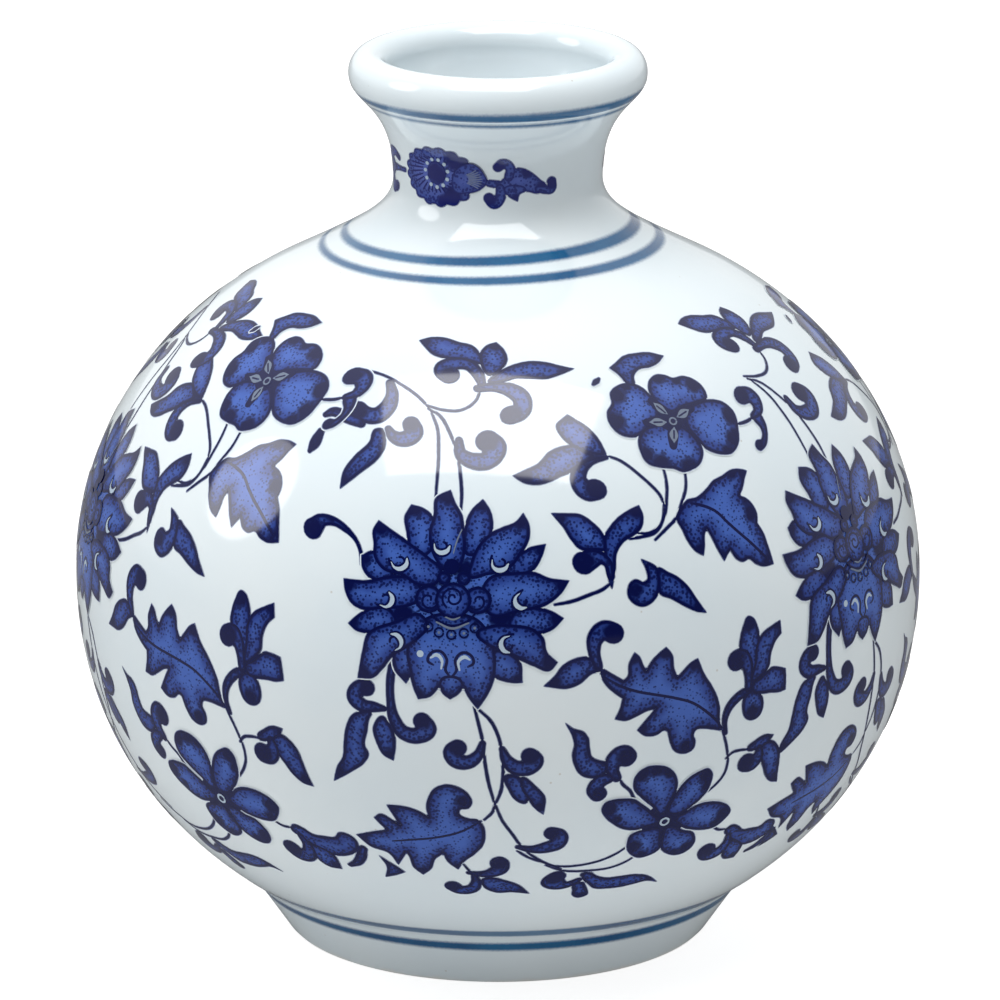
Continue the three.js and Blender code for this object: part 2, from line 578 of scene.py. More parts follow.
@dataclass(frozen=True)
class Cobalt:
    """Cobalt blue under the glaze: a dark pen line round a stippled wash."""

    name: str = "cobalt_painting"
    wash: Colour = (0.017, 0.041, 0.225, 1.0)
    wash_light: Colour = (0.052, 0.120, 0.445, 1.0)
    line: Colour = (0.0010, 0.0034, 0.055, 1.0)
    reserve: Colour = (0.50, 0.62, 0.74, 1.0)
    pen_mm: float = 0.37
    bleed_mm: float = 0.18
    wobble_mm: float = 0.08
    bleed_blue: Colour = (0.022, 0.060, 0.30, 1.0)
    dot_spacing_mm: float = 0.4
    pen_fade_mm: Range = (-0.1, 0.16)
    crowd_mm: Range = (0.35, 1.7)
    crowd_share: float = 0.6
    dot_reach: float = 0.37
    dot_growth: float = 0.4
    dot_fade: float = 0.2
    dot_strength: float = 0.86
    pool_noise: float = 0.5
    pool_ramp: Range = (0.42, 0.95)
    wash_noise_mm: float = 1.3
    wash_ramp_mm: Range = (0.3, 2.2)
    rim_ramp_mm: Range = (0.03, -0.12)

    def material(self, body: Porcelain) -> bpy.types.Material:
        """The painting, fading into the porcelain at its edge.

        Args:
            body: The porcelain that it is painted on.

        Returns:
            A material that reads the painting's edge, tip and reserve numbers.
        """
        paint = Paint(self.name)
        wobble = paint.math("MULTIPLY_ADD", paint.noise(0.55), self.wobble_mm, -self.wobble_mm / 2)
        edge = paint.math("ADD", paint.value("edge"), wobble)
        tip = paint.value("tip")
        pen = [self.pen_mm + end for end in self.pen_fade_mm]
        line = paint.math("SUBTRACT", 1.0, paint.step(edge, *pen))
        near = paint.math("SUBTRACT", 1.0, paint.step(edge, *self.crowd_mm))
        crowd = paint.math("MAXIMUM", tip, paint.math("MULTIPLY", near, self.crowd_share))
        reach = paint.math("MULTIPLY_ADD", crowd, self.dot_growth, self.dot_reach)
        stipple = paint.step(
            paint.dots(self.dot_spacing_mm), reach, paint.math("SUBTRACT", reach, self.dot_fade)
        )
        stipple = paint.math("MULTIPLY", stipple, self.dot_strength)
        level = paint.math("SUBTRACT", tip, self.pool_noise / 2)
        ragged = paint.math("MULTIPLY_ADD", paint.noise(0.7), self.pool_noise, level)
        pooled = paint.step(ragged, *self.pool_ramp)
        dark = paint.math("MAXIMUM", line, paint.math("MAXIMUM", pooled, stipple))
        level = paint.math("SUBTRACT", edge, self.wash_noise_mm / 2)
        middle = paint.math("MULTIPLY_ADD", paint.noise(2.2), self.wash_noise_mm, level)
        wash = paint.mix(paint.step(middle, *self.wash_ramp_mm), self.wash, self.wash_light)
        rim = paint.mix(paint.step(edge, *self.rim_ramp_mm), self.line, self.bleed_blue)
        inked = paint.mix(dark, wash, rim)
        inked = paint.mix(paint.value("reserve"), inked, self.reserve)
        spread = paint.step(edge, -self.bleed_mm, 0.0)
        return body.dress(paint, paint.mix(spread, body.colour(paint), inked))


@dataclass(frozen=True)
class BandBlue:
    """The greyer blue of the bands, laid with a loaded brush as the vase turned."""

    name: str = "band_blue"
    deep: Colour = (0.001, 0.062, 0.185, 1.0)
    thin: Colour = (0.012, 0.125, 0.28, 1.0)
    grain_mm: float = 0.24
    grain_share: float = 0.7
    load_noise: float = 0.5
    load_ramp: Range = (0.1, 0.42)
    spread_mm: Range = (-0.25, 0.5)

    def material(self, body: Porcelain) -> bpy.types.Material:
        """The band, grainy and fading into the porcelain at both edges.

        Args:
            body: The porcelain that it is painted on.

        Returns:
            A material that reads the band's edge and load numbers.
        """
        paint = Paint(self.name)
        grain = paint.math("MULTIPLY_ADD", paint.noise(0.35, 3.0), self.grain_mm, -self.grain_mm / 2)
        edge = paint.math("ADD", paint.value("edge"), grain)
        fine = paint.math("MULTIPLY", grain, self.grain_share)
        load = paint.math("MULTIPLY_ADD", paint.noise(9.0), self.load_noise, fine)
        colour = paint.mix(paint.step(load, *self.load_ramp), self.deep, self.thin)
        spread = paint.step(edge, *self.spread_mm)
        weight = paint.math("MULTIPLY", spread, paint.value("load"))
        return body.dress(paint, paint.mix(weight, body.colour(paint), colour))


# ---- Brushwork ----
def smooth_curve(knots: Sequence[Knot], closed: bool, sharp: Sequence[bool], pitch: float) -> np.ndarray:
    """Runs a smooth curve through its knots, with a corner at each sharp one.

    Args:
        knots: Points of any dimension.
        closed: Whether the curve comes back to its first knot.
        sharp: Whether each knot is a corner.
        pitch: Spacing of the points along the curve.

    Returns:
        The curve's points, without a repeat of the first one when it is closed.
    """
    points = np.array(knots, dtype=float)
    count = len(points)
    spans = range(count if closed else count - 1)
    chords = [points[(i + 1) % count] - points[i] for i in spans]
    lengths = [float(np.linalg.norm(chord)) for chord in chords]
    curve = []
    for i in spans:
        after = (i + 1) % count
        ends = []
        for knot, corner in ((i, sharp[i]), (after, sharp[after])):
            if corner or (not closed and knot in (0, count - 1)):
                ends.append(chords[i])
                continue
            before = (knot - 1) % count
            blend = chords[knot] / lengths[knot] ** 2 + chords[before] / lengths[before] ** 2
            ends.append(blend * lengths[i] / float(np.linalg.norm(blend)))
        t = np.arange(max(2, int(lengths[i] / pitch) + 1))[:, None]
        t = t / len(t)
        curve.append(
            (2 * t**3 - 3 * t**2 + 1) * points[i]
            + (t**3 - 2 * t**2 + t) * ends[0]
            + (3 * t**2 - 2 * t**3) * points[after]
            + (t**3 - t**2) * ends[1]
        )
    if not closed:
        curve.append(points[-1:])
    return np.vstack(curve)


def distance_to(points: np.ndarray, outline: np.ndarray) -> np.ndarray:
    """Distance of each point from a closed outline's nearest edge.

    Args:
        points: Places on the chart.
        outline: The outline's points in order.

    Returns:
        One distance per point.
    """
    start = outline[None]
    run = np.roll(outline, -1, axis=0)[None] - start
    offset = points[:, None] - start
    along = np.clip((offset * run).sum(-1) / np.maximum((run**2).sum(-1), 1e-12), 0.0, 1.0)
    return np.sqrt(((offset - along[..., None] * run) ** 2).sum(-1)).min(axis=1)


def inside(points: np.ndarray, outline: np.ndarray) -> np.ndarray:
    """Whether each point lies within a closed outline.

    Args:
        points: Places on the chart.
        outline: The outline's points in order.

    Returns:
        One truth value per point.
    """
    after = np.roll(outline, -1, axis=0)
    x, y = points[:, :1], points[:, 1:]
    crosses = (outline[:, 1] > y) != (after[:, 1] > y)
    rise = np.where(after[:, 1] == outline[:, 1], 1e-12, after[:, 1] - outline[:, 1])
    at = outline[:, 0] + (y - outline[:, 1]) * (after[:, 0] - outline[:, 0]) / rise
    return (crosses & (x < at)).sum(axis=1) % 2 == 1


class Ink(Enum):
    """How a stroke is loaded: its share of solid dark and of bare porcelain."""

    WASH = (0.0, 0.0)
    DARK = (1.0, 0.0)
    PALE = (0.0, 0.3)
    BARE = (0.0, 0.85)


@dataclass
class Stroke:
    """One closed patch of brushwork on the flat chart, in millimetres across and up."""

    outline: np.ndarray
    pools: list[Knot] = field(default_factory=list)
    ink: Ink = Ink.WASH
    spine: np.ndarray = field(default_factory=lambda: np.zeros((0, 2)))


SAMPLE = 0.32
THIN = 0.5
RIM_SLACK = 0.025
RIM_STEP = 0.03


def leaf(*knots: Knot, pools: Sequence[Knot] = ()) -> Stroke:
    """A washed shape inside a pen line.

    Args:
        knots: The outline in order. A third number makes a corner, and is the reach of the dark
            gathered in that tip.
        pools: Further places where the cobalt gathers, each with its reach.

    Returns:
        The patch.
    """
    outline = smooth_curve([knot[:2] for knot in knots], True, [len(k) > 2 for k in knots], SAMPLE)
    tips = [knot for knot in knots if len(knot) > 2 and knot[2] > 0.0]
    return Stroke(outline, [*tips, *pools])


def brush(*knots: Knot, ink: Ink = Ink.WASH, head: float = 0.8) -> Stroke:
    """A single sweep of a loaded brush, with a dark round head at its end.

    Args:
        knots: Points along the sweep, each with the brush's width there.
        ink: How the brush is loaded.
        head: How far the dark of the head reaches, in head widths.

    Returns:
        The patch that the sweep leaves.
    """
    path = smooth_curve(knots, False, [False] * len(knots), SAMPLE / 2)
    centre, half = path[:, :2], path[:, 2:] / 2
    run = np.gradient(centre, axis=0)
    side = np.column_stack([-run[:, 1], run[:, 0]]) / np.linalg.norm(run, axis=1)[:, None]
    turns = np.linspace(0.0, math.pi, 9)[1:-1, None]
    caps = []
    for end, sign in ((-1, 1.0), (0, -1.0)):
        across, ahead = side[end] * sign, np.array([side[end, 1], -side[end, 0]]) * sign
        caps.append(centre[end] + half[end] * (np.cos(turns) * across + np.sin(turns) * ahead))
    rim = np.vstack([centre + side * half, caps[0], (centre - side * half)[::-1], caps[1]])
    depth = half.T - np.linalg.norm(rim[:, None] - centre[None], axis=2)
    rim = rim[depth.max(axis=1) < RIM_SLACK]
    step = np.linalg.norm(np.diff(rim, axis=0, prepend=rim[-1:]), axis=1)
    pool = [(*centre[-1], half[-1, 0] * 2 * head)] if head else []
    spine = centre[1:-1:2][half[1:-1:2, 0] < THIN]
    return Stroke(rim[step > RIM_STEP], pool, ink, spine)


def stem(width: float, *knots: Knot, ink: Ink = Ink.DARK) -> Stroke:
    """A thin line of one width, running through its knots and pointed a little at both ends."""
    widths = [width * (0.7 if i in (0, len(knots) - 1) else 1.0) for i in range(len(knots))]
    return brush(*[(*knot, w) for knot, w in zip(knots, widths)], ink=ink, head=0.0)


def line(ink: Ink, *knots: Knot) -> Stroke:
    """A sweep with no dark head, each knot with its own width."""
    return brush(*knots, ink=ink, head=0.0)


def scallops(
    centre: Knot, radius: float, count: int, lobe: float, squash: float = 1.0
) -> Stroke:
    """A blossom's rim of round lobes.

    Args:
        centre: The middle of the blossom.
        radius: Its mean radius.
        count: How many lobes.
        lobe: How far each lobe stands out, in millimetres.
        squash: Height over width.

    Returns:
        The patch.
    """
    turn = np.linspace(0.0, TAU, int(TAU * radius / SAMPLE), endpoint=False)
    reach = radius + lobe * (np.abs(np.cos(turn * count / 2)) - 0.5)
    rim = np.column_stack([np.cos(turn), np.sin(turn) * squash]) * reach[:, None]
    return Stroke(rim + np.array(centre))


@dataclass
class Sheet:
    """Cut brushwork on the flat chart, ready to lay on the vase."""

    places: np.ndarray
    lifts: np.ndarray
    edge: np.ndarray
    tip: np.ndarray
    reserve: np.ndarray
    faces: list[Sequence[int]]


@dataclass(frozen=True)
class Cutter:
    """Turns strokes into triangles: a fill inside each outline and a faint bleed round it."""

    pitch: float = 0.45
    rim_gap: float = 0.2
    bleed: float = 0.21
    bleed_lift: float = 0.004
    fill_lift: float = 0.02
    stroke_lift: float = 0.0015
    bleed_crowding: int = 12
    bleed_kept: float = 0.85
    pool_edge: float = 1.15
    pool_fade: float = 1.5
    merge_mm: float = 1e-5

    def cut(self, strokes: Sequence[Stroke]) -> Sheet:
        """Cuts the strokes, each one lying over those before it.

        Args:
            strokes: The brushwork in painting order.

        Returns:
            One sheet with all of it.
        """
        parts = []
        for order, stroke in enumerate(strokes):
            parts.append(
                self._bleed(stroke, self.bleed_lift + order * self.stroke_lift / self.bleed_crowding),
            )
            parts.append(self._fill(stroke, self.fill_lift + order * self.stroke_lift))
        first, faces = 0, []
        for part in parts:
            faces.extend([tuple(first + corner for corner in face) for face in part.faces])
            first += len(part.places)
        columns = [
            np.concatenate([getattr(part, key) for part in parts])
            for key in ("places", "lifts", "edge", "tip", "reserve")
        ]
        return Sheet(*columns, faces)

    def _fill(self, stroke: Stroke, lift: float) -> Sheet:
        """The patch itself, with points inside it for the shading numbers.

        Args:
            stroke: The patch.
            lift: Height over the glaze.

        Returns:
            The sheet.
        """
        low, high = stroke.outline.min(axis=0), stroke.outline.max(axis=0)
        grid = np.stack(
            np.meshgrid(*[np.arange(a, b, self.pitch) for a, b in zip(low, high)]), axis=-1
        ).astype(float)
        grid[::2, :, 0] += self.pitch / 2
        grid = grid.reshape(-1, 2)
        grid = grid[inside(grid, stroke.outline)]
        grid = grid[distance_to(grid, stroke.outline) > self.rim_gap] if len(grid) else grid
        points = np.vstack([stroke.outline, grid, stroke.spine])
        return self._triangles(stroke, points, [stroke.outline], lift, 1.0)

    def _bleed(self, stroke: Stroke, lift: float) -> Sheet:
        """The faint blur just outside the patch.

        Args:
            stroke: The patch.
            lift: Height over the glaze.

        Returns:
            The sheet.
        """
        outline = stroke.outline
        run = np.roll(outline, -1, axis=0) - np.roll(outline, 1, axis=0)
        turned = outline - np.roll(outline, -1, axis=0)
        area = float((outline[:, 0] * turned[:, 1] - outline[:, 1] * turned[:, 0]).sum())
        out = np.column_stack([run[:, 1], -run[:, 0]]) / np.linalg.norm(run, axis=1)[:, None]
        ring = outline + out * self.bleed * (-1.0 if area > 0.0 else 1.0)
        ring = ring[~inside(ring, outline)]
        ring = ring[distance_to(ring, outline) > self.bleed * self.bleed_kept]
        return self._triangles(stroke, np.vstack([outline, ring]), [ring, outline], lift, -1.0)

    def _triangles(
        self, stroke: Stroke, points: np.ndarray, loops: list[np.ndarray], lift: float, sign: float
    ) -> Sheet:
        """Triangles between loops.

        Args:
            stroke: The patch, for its outline, pools and ink.
            points: The points to use, which hold the outline first.
            loops: The outer edge, and a hole's edge if there is one.
            lift: Height over the glaze.
            sign: 1 inside the patch, -1 outside.

        Returns:
            The sheet.
        """
        count = len(stroke.outline)
        rims = [np.arange(count)]
        if len(loops) > 1:
            rims.append(np.arange(count, len(points)))
        edges = [(int(a), int(b)) for rim in rims for a, b in zip(rim, np.roll(rim, -1))]
        corners = [Vector(point) for point in points]
        found, _, faces, *_ = delaunay_2d_cdt(corners, edges, [], 0, self.merge_mm)
        places = np.array([tuple(p) for p in found])
        faces = np.array([tuple(face) for face in faces if len(face) == 3])
        middle = places[faces].mean(axis=1)
        keep = inside(middle, loops[0])
        if len(loops) > 1:
            keep &= ~inside(middle, loops[1])
        edge = sign * distance_to(places, stroke.outline)
        tip = np.zeros(len(places))
        for across, up, reach in stroke.pools:
            near = np.hypot(places[:, 0] - across, places[:, 1] - up) / reach
            tip = np.maximum(tip, np.clip(self.pool_fade * (self.pool_edge - near), 0.0, 1.0))
        solid, bare = stroke.ink.value
        reserve = np.full(len(places), bare)
        tip = np.maximum(tip, solid)
        return Sheet(places, np.full(len(places), lift), edge, tip, reserve, faces[keep].tolist())


@dataclass(frozen=True)
class Spot:
    """Where a motif lies on the vase.

    The chart's origin lies at an azimuth, counted from the front toward the right, and at a height
    along the outline from the belly. A turn tips the whole motif to the left about that origin. Both
    angles are in degrees. A stretch draws it out upward, and a lift lays it over its neighbours.
    """

    azimuth: float
    rise: float = 0.0
    turn: float = 0.0
    stretch: float = 1.0
    lift: float = 0.0


class Painter:
    """Lays cut sheets on the turned outside."""

    def __init__(self, form: TurnedForm, material: bpy.types.Material, cutter: Cutter) -> None:
        """Sets up the painter.

        Args:
            form: The vase's form.
            material: The cobalt.
            cutter: What cuts the strokes.
        """
        self.form = form
        self.material = material
        self.cutter = cutter
        self.sheets: dict[str, Sheet] = {}

    def paint(self, name: str, strokes: Sequence[Stroke], spot: Spot, key: str) -> bpy.types.Object:
        """Paints one motif.

        Args:
            name: The object's name.
            strokes: The brushwork.
            spot: Where it lies.
            key: The motif's own name, so that a repeat is cut only once.

        Returns:
            The painted piece.
        """
        if key not in self.sheets:
            self.sheets[key] = self.cutter.cut(strokes)
        sheet = self.sheets[key]
        tip = math.radians(spot.turn)
        across = sheet.places[:, 0] * math.cos(tip) - sheet.places[:, 1] * math.sin(tip)
        up = sheet.places[:, 0] * math.sin(tip) + sheet.places[:, 1] * math.cos(tip)
        table = self.form.outer.at(up * spot.stretch + spot.rise)
        turn = math.radians(spot.azimuth) + across / table[:, 0]
        around = np.column_stack([np.sin(turn), -np.cos(turn)])
        normals = np.column_stack([around * table[:, 2:3], table[:, 3]])
        vertices = np.column_stack([around * table[:, :1], table[:, 1]])
        vertices = vertices + normals * (sheet.lifts[:, None] + spot.lift)
        values = {"edge": sheet.edge, "tip": sheet.tip, "reserve": sheet.reserve}
        return mesh_object(name, vertices, sheet.faces, normals, self.material, values)


# ---- Motifs ----
def crescent(across: float, up: float, radius: float, facing: float) -> list[Stroke]:
    """A bare crescent in a dark curl, as in the base of each lotus petal.

    Args:
        across: Where its arc is centred.
        up: Where its arc is centred.
        radius: The arc's radius.
        facing: The way that its hollow side's back looks, in degrees from level right.

    Returns:
        The dark curl with its hook, and the bare crescent on it.
    """
    curl = np.radians(facing + np.linspace(-120.0, 150.0, 9))
    hook = [
        (across + reach * math.cos(turn), up + reach * math.sin(turn), 0.28)
        for turn, reach in zip(curl, np.linspace(1.25, 0.4, 9) * radius)
    ]
    turns = np.radians(facing + np.array([-105.0, -55.0, -5.0, 40.0, 80.0]))
    arc = [(across + radius * math.cos(turn), up + radius * math.sin(turn)) for turn in turns]
    dark = [(*place, width) for place, width in zip(arc, (0.3, 0.75, 1.05, 0.95, 0.5))]
    bare = [(*place, width) for place, width in zip(arc, (0.06, 0.26, 0.5, 0.46, 0.16))]
    return [
        line(Ink.DARK, *dark),
        line(Ink.DARK, *hook),
        line(Ink.BARE, *bare),
    ]


def ring(across: float, up: float, radius: float, width: float, ink: Ink) -> Stroke:
    """A ring drawn in one turn, not quite closed.

    Args:
        across: Its middle.
        up: Its middle.
        radius: Its radius.
        width: The line's width.
        ink: How the brush is loaded.

    Returns:
        The ring.
    """
    turns = np.linspace(0.3, TAU - 0.25, 12)
    path = [(across + radius * math.cos(t), up + radius * math.sin(t), width) for t in turns]
    return brush(*path, ink=ink, head=0.0)


def spot(across: float, up: float, radius: float, ink: Ink) -> Stroke:
    """A round touch of the brush.

    Args:
        across: Its middle.
        up: Its middle.
        radius: Its radius.
        ink: How the brush is loaded.

    Returns:
        The touch.
    """
    turns = np.linspace(0.0, TAU, 12, endpoint=False)[:, None]
    outline = np.array([across, up]) + radius * np.hstack([np.cos(turns), np.sin(turns)])
    return Stroke(outline, ink=ink)


class Lotus:
    """The big lotus: pointed petals in two tiers round a scrolled heart, over a bell of sepals."""

    @staticmethod
    def back_petals() -> list[Stroke]:
        """The slim and small petals that stand behind.

        Returns:
            The strokes, in painting order.
        """
        return [
            leaf((-4.8, 12.3, 2.2), (-3.3, 11.9), (-2, 10.7), (-1.6, 8.4), (-3.6, 6.4), (-4.9, 7.5),
                 (-5.15, 9), (-5.5, 10.9)),
            leaf((3.2, 13.2, 2.2), (4.1, 11.9), (4.5, 10.1), (4.2, 8.5), (2, 6.7), (1.4, 10.3), (2, 11.9)),
            leaf((-10.3, 6.1, 1.8), (-8.9, 6.8), (-6.7, 3.8), (-9.4, 3.8), (-10.15, 4.8)),
            leaf((-11.6, -1.6, 1.9), (-10.3, -0.4), (-7.4, 0.8), (-5.9, -1.2), (-7.2, -2.2), (-9.4, -2.5),
                 (-10.7, -2.3)),
            leaf((8.3, -7.5, 1.8), (7.1, -7.5), (4.4, -6), (4.9, -3.9), (7.9, -4.9)),
            leaf((12.8, -0.35, 2.2), (11.4, 0.5), (7.2, 0.5), (6.6, -1.2), (9.4, -2.1), (11.8, -1.4)),
            leaf((10.5, 8, 2.1), (8.7, 7.65), (6.2, 4.9), (9.1, 5), (10, 6.3)),
            leaf((-4.8, -7.9, 2), (-3.8, -6.2), (-3.6, -3.4), (-6.1, -4.1), (-6.2, -6.2)),
        ]

    @staticmethod
    def front_petals() -> list[Stroke]:
        """The eight broad petals, each with a bare crescent at its base.

        Returns:
            The strokes, in painting order.
        """
        petals = [
            leaf((-0.5, 14.2, 2.6), (0.1, 12.8), (1, 11.3), (1.3, 9.8), (1.6, 7.8), (0.9, 5.4), (-0.6, 4.9),
                 (-1.6, 5.9), (-2.5, 7.8), (-2.65, 9.4), (-2.2, 11.3), (-2.1, 13.2)),
            leaf((-12.3, 3.3, 2.4), (-9.4, 3.4), (-7.5, 4), (-3.6, 3.6), (-2.9, 1.9), (-4.4, 0.9),
                 (-7.5, 0.35), (-10.15, 0.15), (-11.3, 0.7), (-12.1, 2.1)),
            leaf((13.3, 3.8, 2.4), (11, 4.2), (9.5, 4.85), (7.15, 4.95), (4.1, 4.2), (3.4, 2.2),
                 (4.5, 0.15), (7.9, 0.5), (11, 1.3), (12.5, 2.5)),
            leaf((-3, 0), (-6.2, -0.9), (-9.4, -2.7), (-9.85, -4.5), (-10.2, -6.4), (-10.4, -7.7, 2.6),
                 (-8.6, -7.5), (-7.5, -6.4), (-6.3, -4.85), (-5.1, -4.1), (-3.2, -2.6), (-2.2, -1.2)),
            leaf((4.5, -1), (7.2, -0.9), (9.5, -1.4), (10.6, -2.5), (11, -4.1), (12.2, -5.3, 2.6),
                 (11.4, -6.2), (9.5, -5.6), (7.9, -4.85), (6.4, -4.1), (4.2, -3.2), (3, -1.8)),
            leaf((-8.5, 10.2, 2.6), (-7.5, 9.6), (-4.8, 8), (-2.5, 6.5), (-0.9, 5), (-1.4, 3.6),
                 (-3.6, 3.2), (-5.5, 4.2), (-7.8, 4.8), (-8.9, 6.3), (-8.9, 7.5), (-9.1, 9)),
            leaf((7.8, 11.6, 2.8), (7.15, 10.7), (5.6, 10), (4.5, 9.5), (2.9, 7.85), (2.15, 5.9), (2, 4.4),
                 (4.1, 4.6), (6.8, 5.5), (7.9, 7.1), (8.6, 8.6), (8.5, 10.3)),
        ]
        crescents = [
            *crescent(-1.1, 7.9, 0.9, -88),
            *crescent(-5.9, 5.9, 0.95, -65),
            *crescent(-7.4, 1.5, 0.9, -25),
            *crescent(-6.3, -3.3, 0.95, 25),
            *crescent(6.8, -3.1, 0.95, 190),
            *crescent(8.2, 1.8, 0.9, 215),
            *crescent(5.5, 6.1, 0.95, -95),
        ]
        slash = stem(0.16, (1.1, 9.8), (0.6, 8.5), (0.2, 6.9), ink=Ink.PALE)
        return [*petals, *crescents, slash]

    @staticmethod
    def bell() -> list[Stroke]:
        """The bell of sepals under the heart.

        Returns:
            The strokes, in painting order.
        """
        return [
            leaf((-2.8, -0.4), (-4.4, -2.4), (-4.8, -4.4), (-4.4, -6.5), (-4, -8.2), (-3.4, -9.65, 1.7),
                 (-2.1, -9.3), (-1, -8.1, 0), (-0.6, -8.9), (0.2, -9.5, 1.1), (1.1, -8.9), (1.7, -8.1, 0),
                 (2.3, -9.3), (3.3, -10.6, 1.9), (4.5, -8.7), (5.2, -6.8), (5.3, -4.5), (4.8, -2.4),
                 (3.4, -0.4), (0.3, 0.4)),
            stem(0.34, (-1, -8.1), (-0.7, -7.2), (0.3, -6.9), (1.3, -7.2), (1.7, -8.1)),
            stem(0.34, (0.2, -6.9), (-0.3, -6.2), (-0.2, -4.9), (-1, -4), (-2.1, -4.4), (-2.3, -5.2),
                 (-1.7, -5.6)),
            stem(0.34, (0.4, -6.9), (0.9, -6.2), (0.8, -4.9), (1.6, -4.1), (2.6, -4.5), (2.8, -5.3),
                 (2.2, -5.7)),
            line(Ink.BARE, (-2, -4.8, 0.2), (-1.3, -4.45, 0.42), (-0.75, -5, 0.34), (-0.8, -6, 0.2)),
            line(Ink.BARE, (1.25, -6.1, 0.2), (1.15, -5.1, 0.34), (1.8, -4.6, 0.42), (2.4, -4.9, 0.2)),
            spot(-3.2, -4.4, 0.4, Ink.BARE),
        ]

    @staticmethod
    def heart() -> list[Stroke]:
        """The scrolled heart: a spiral between two scrolls, over arcs and beads.

        Returns:
            The strokes, in painting order.
        """
        spiral = [
            (0.4 + reach * math.cos(turn), 2 + reach * math.sin(turn), 0.26)
            for turn, reach in zip(np.linspace(0.4, 10.4, 17), np.linspace(0.2, 1.3, 17))
        ]
        scrolls = []
        for side in (-1, 1):
            curl = [
                (0.4 + side * (2.75 + reach * math.cos(turn)), 1.7 + reach * math.sin(turn), 0.26)
                for turn, reach in zip(np.linspace(3.2, 9.4, 11), np.linspace(1.15, 0.25, 11))
            ]
            scrolls.append(spot(0.4 + side * 2.75, 1.8, 1.6, Ink.WASH))
            scrolls.append(line(Ink.DARK, *curl))
            scrolls.append(spot(0.4 + side * 1.1, 4.2, 0.8, Ink.WASH))
        scallops_below = []
        for across, up in ((-2.3, -1.3), (-1.1, -1.9), (0.3, -2.1), (1.7, -1.9), (2.9, -1.3)):
            scallops_below.append(ring(across, up, 0.5, 0.22, Ink.DARK))
            scallops_below.append(spot(across, up, 0.16, Ink.PALE))
        return [
            *scallops_below,
            *scrolls,
            spot(0.4, 1.7, 2.1, Ink.WASH),
            line(Ink.DARK, *spiral),
            stem(0.3, (-2.2, 0.4), (-1.2, -0.6), (0.4, -1.1), (2, -0.6), (3, 0.4)),
            stem(0.26, (-1.4, -0.75), (0.4, -1.4), (2.2, -0.75), ink=Ink.PALE),
            stem(0.2, (-0.5, -0.1), (0.4, -0.4), (1.3, -0.1), ink=Ink.PALE),
            spot(0.1, 5.5, 0.9, Ink.DARK),
        ]

    def strokes(self) -> list[Stroke]:
        """The whole flower in painting order, over a ground that fills its gaps.

        Returns:
            The strokes, in painting order.
        """
        ground = leaf((-5.5, 6), (-2, 8), (2, 8), (5.5, 6), (7.5, 2), (6.5, -2.5), (3.8, -5.5), (0.3, -6.5),
                      (-3.6, -5), (-6.3, -2), (-7, 2),
                      pools=[(-5.2, -0.2, 1.9), (5.7, -0.1, 1.9), (1.6, 5.2, 1.7), (-2, 4, 1.3)])
        return [ground, *self.back_petals(), *self.bell(), *self.front_petals(), *self.heart()]


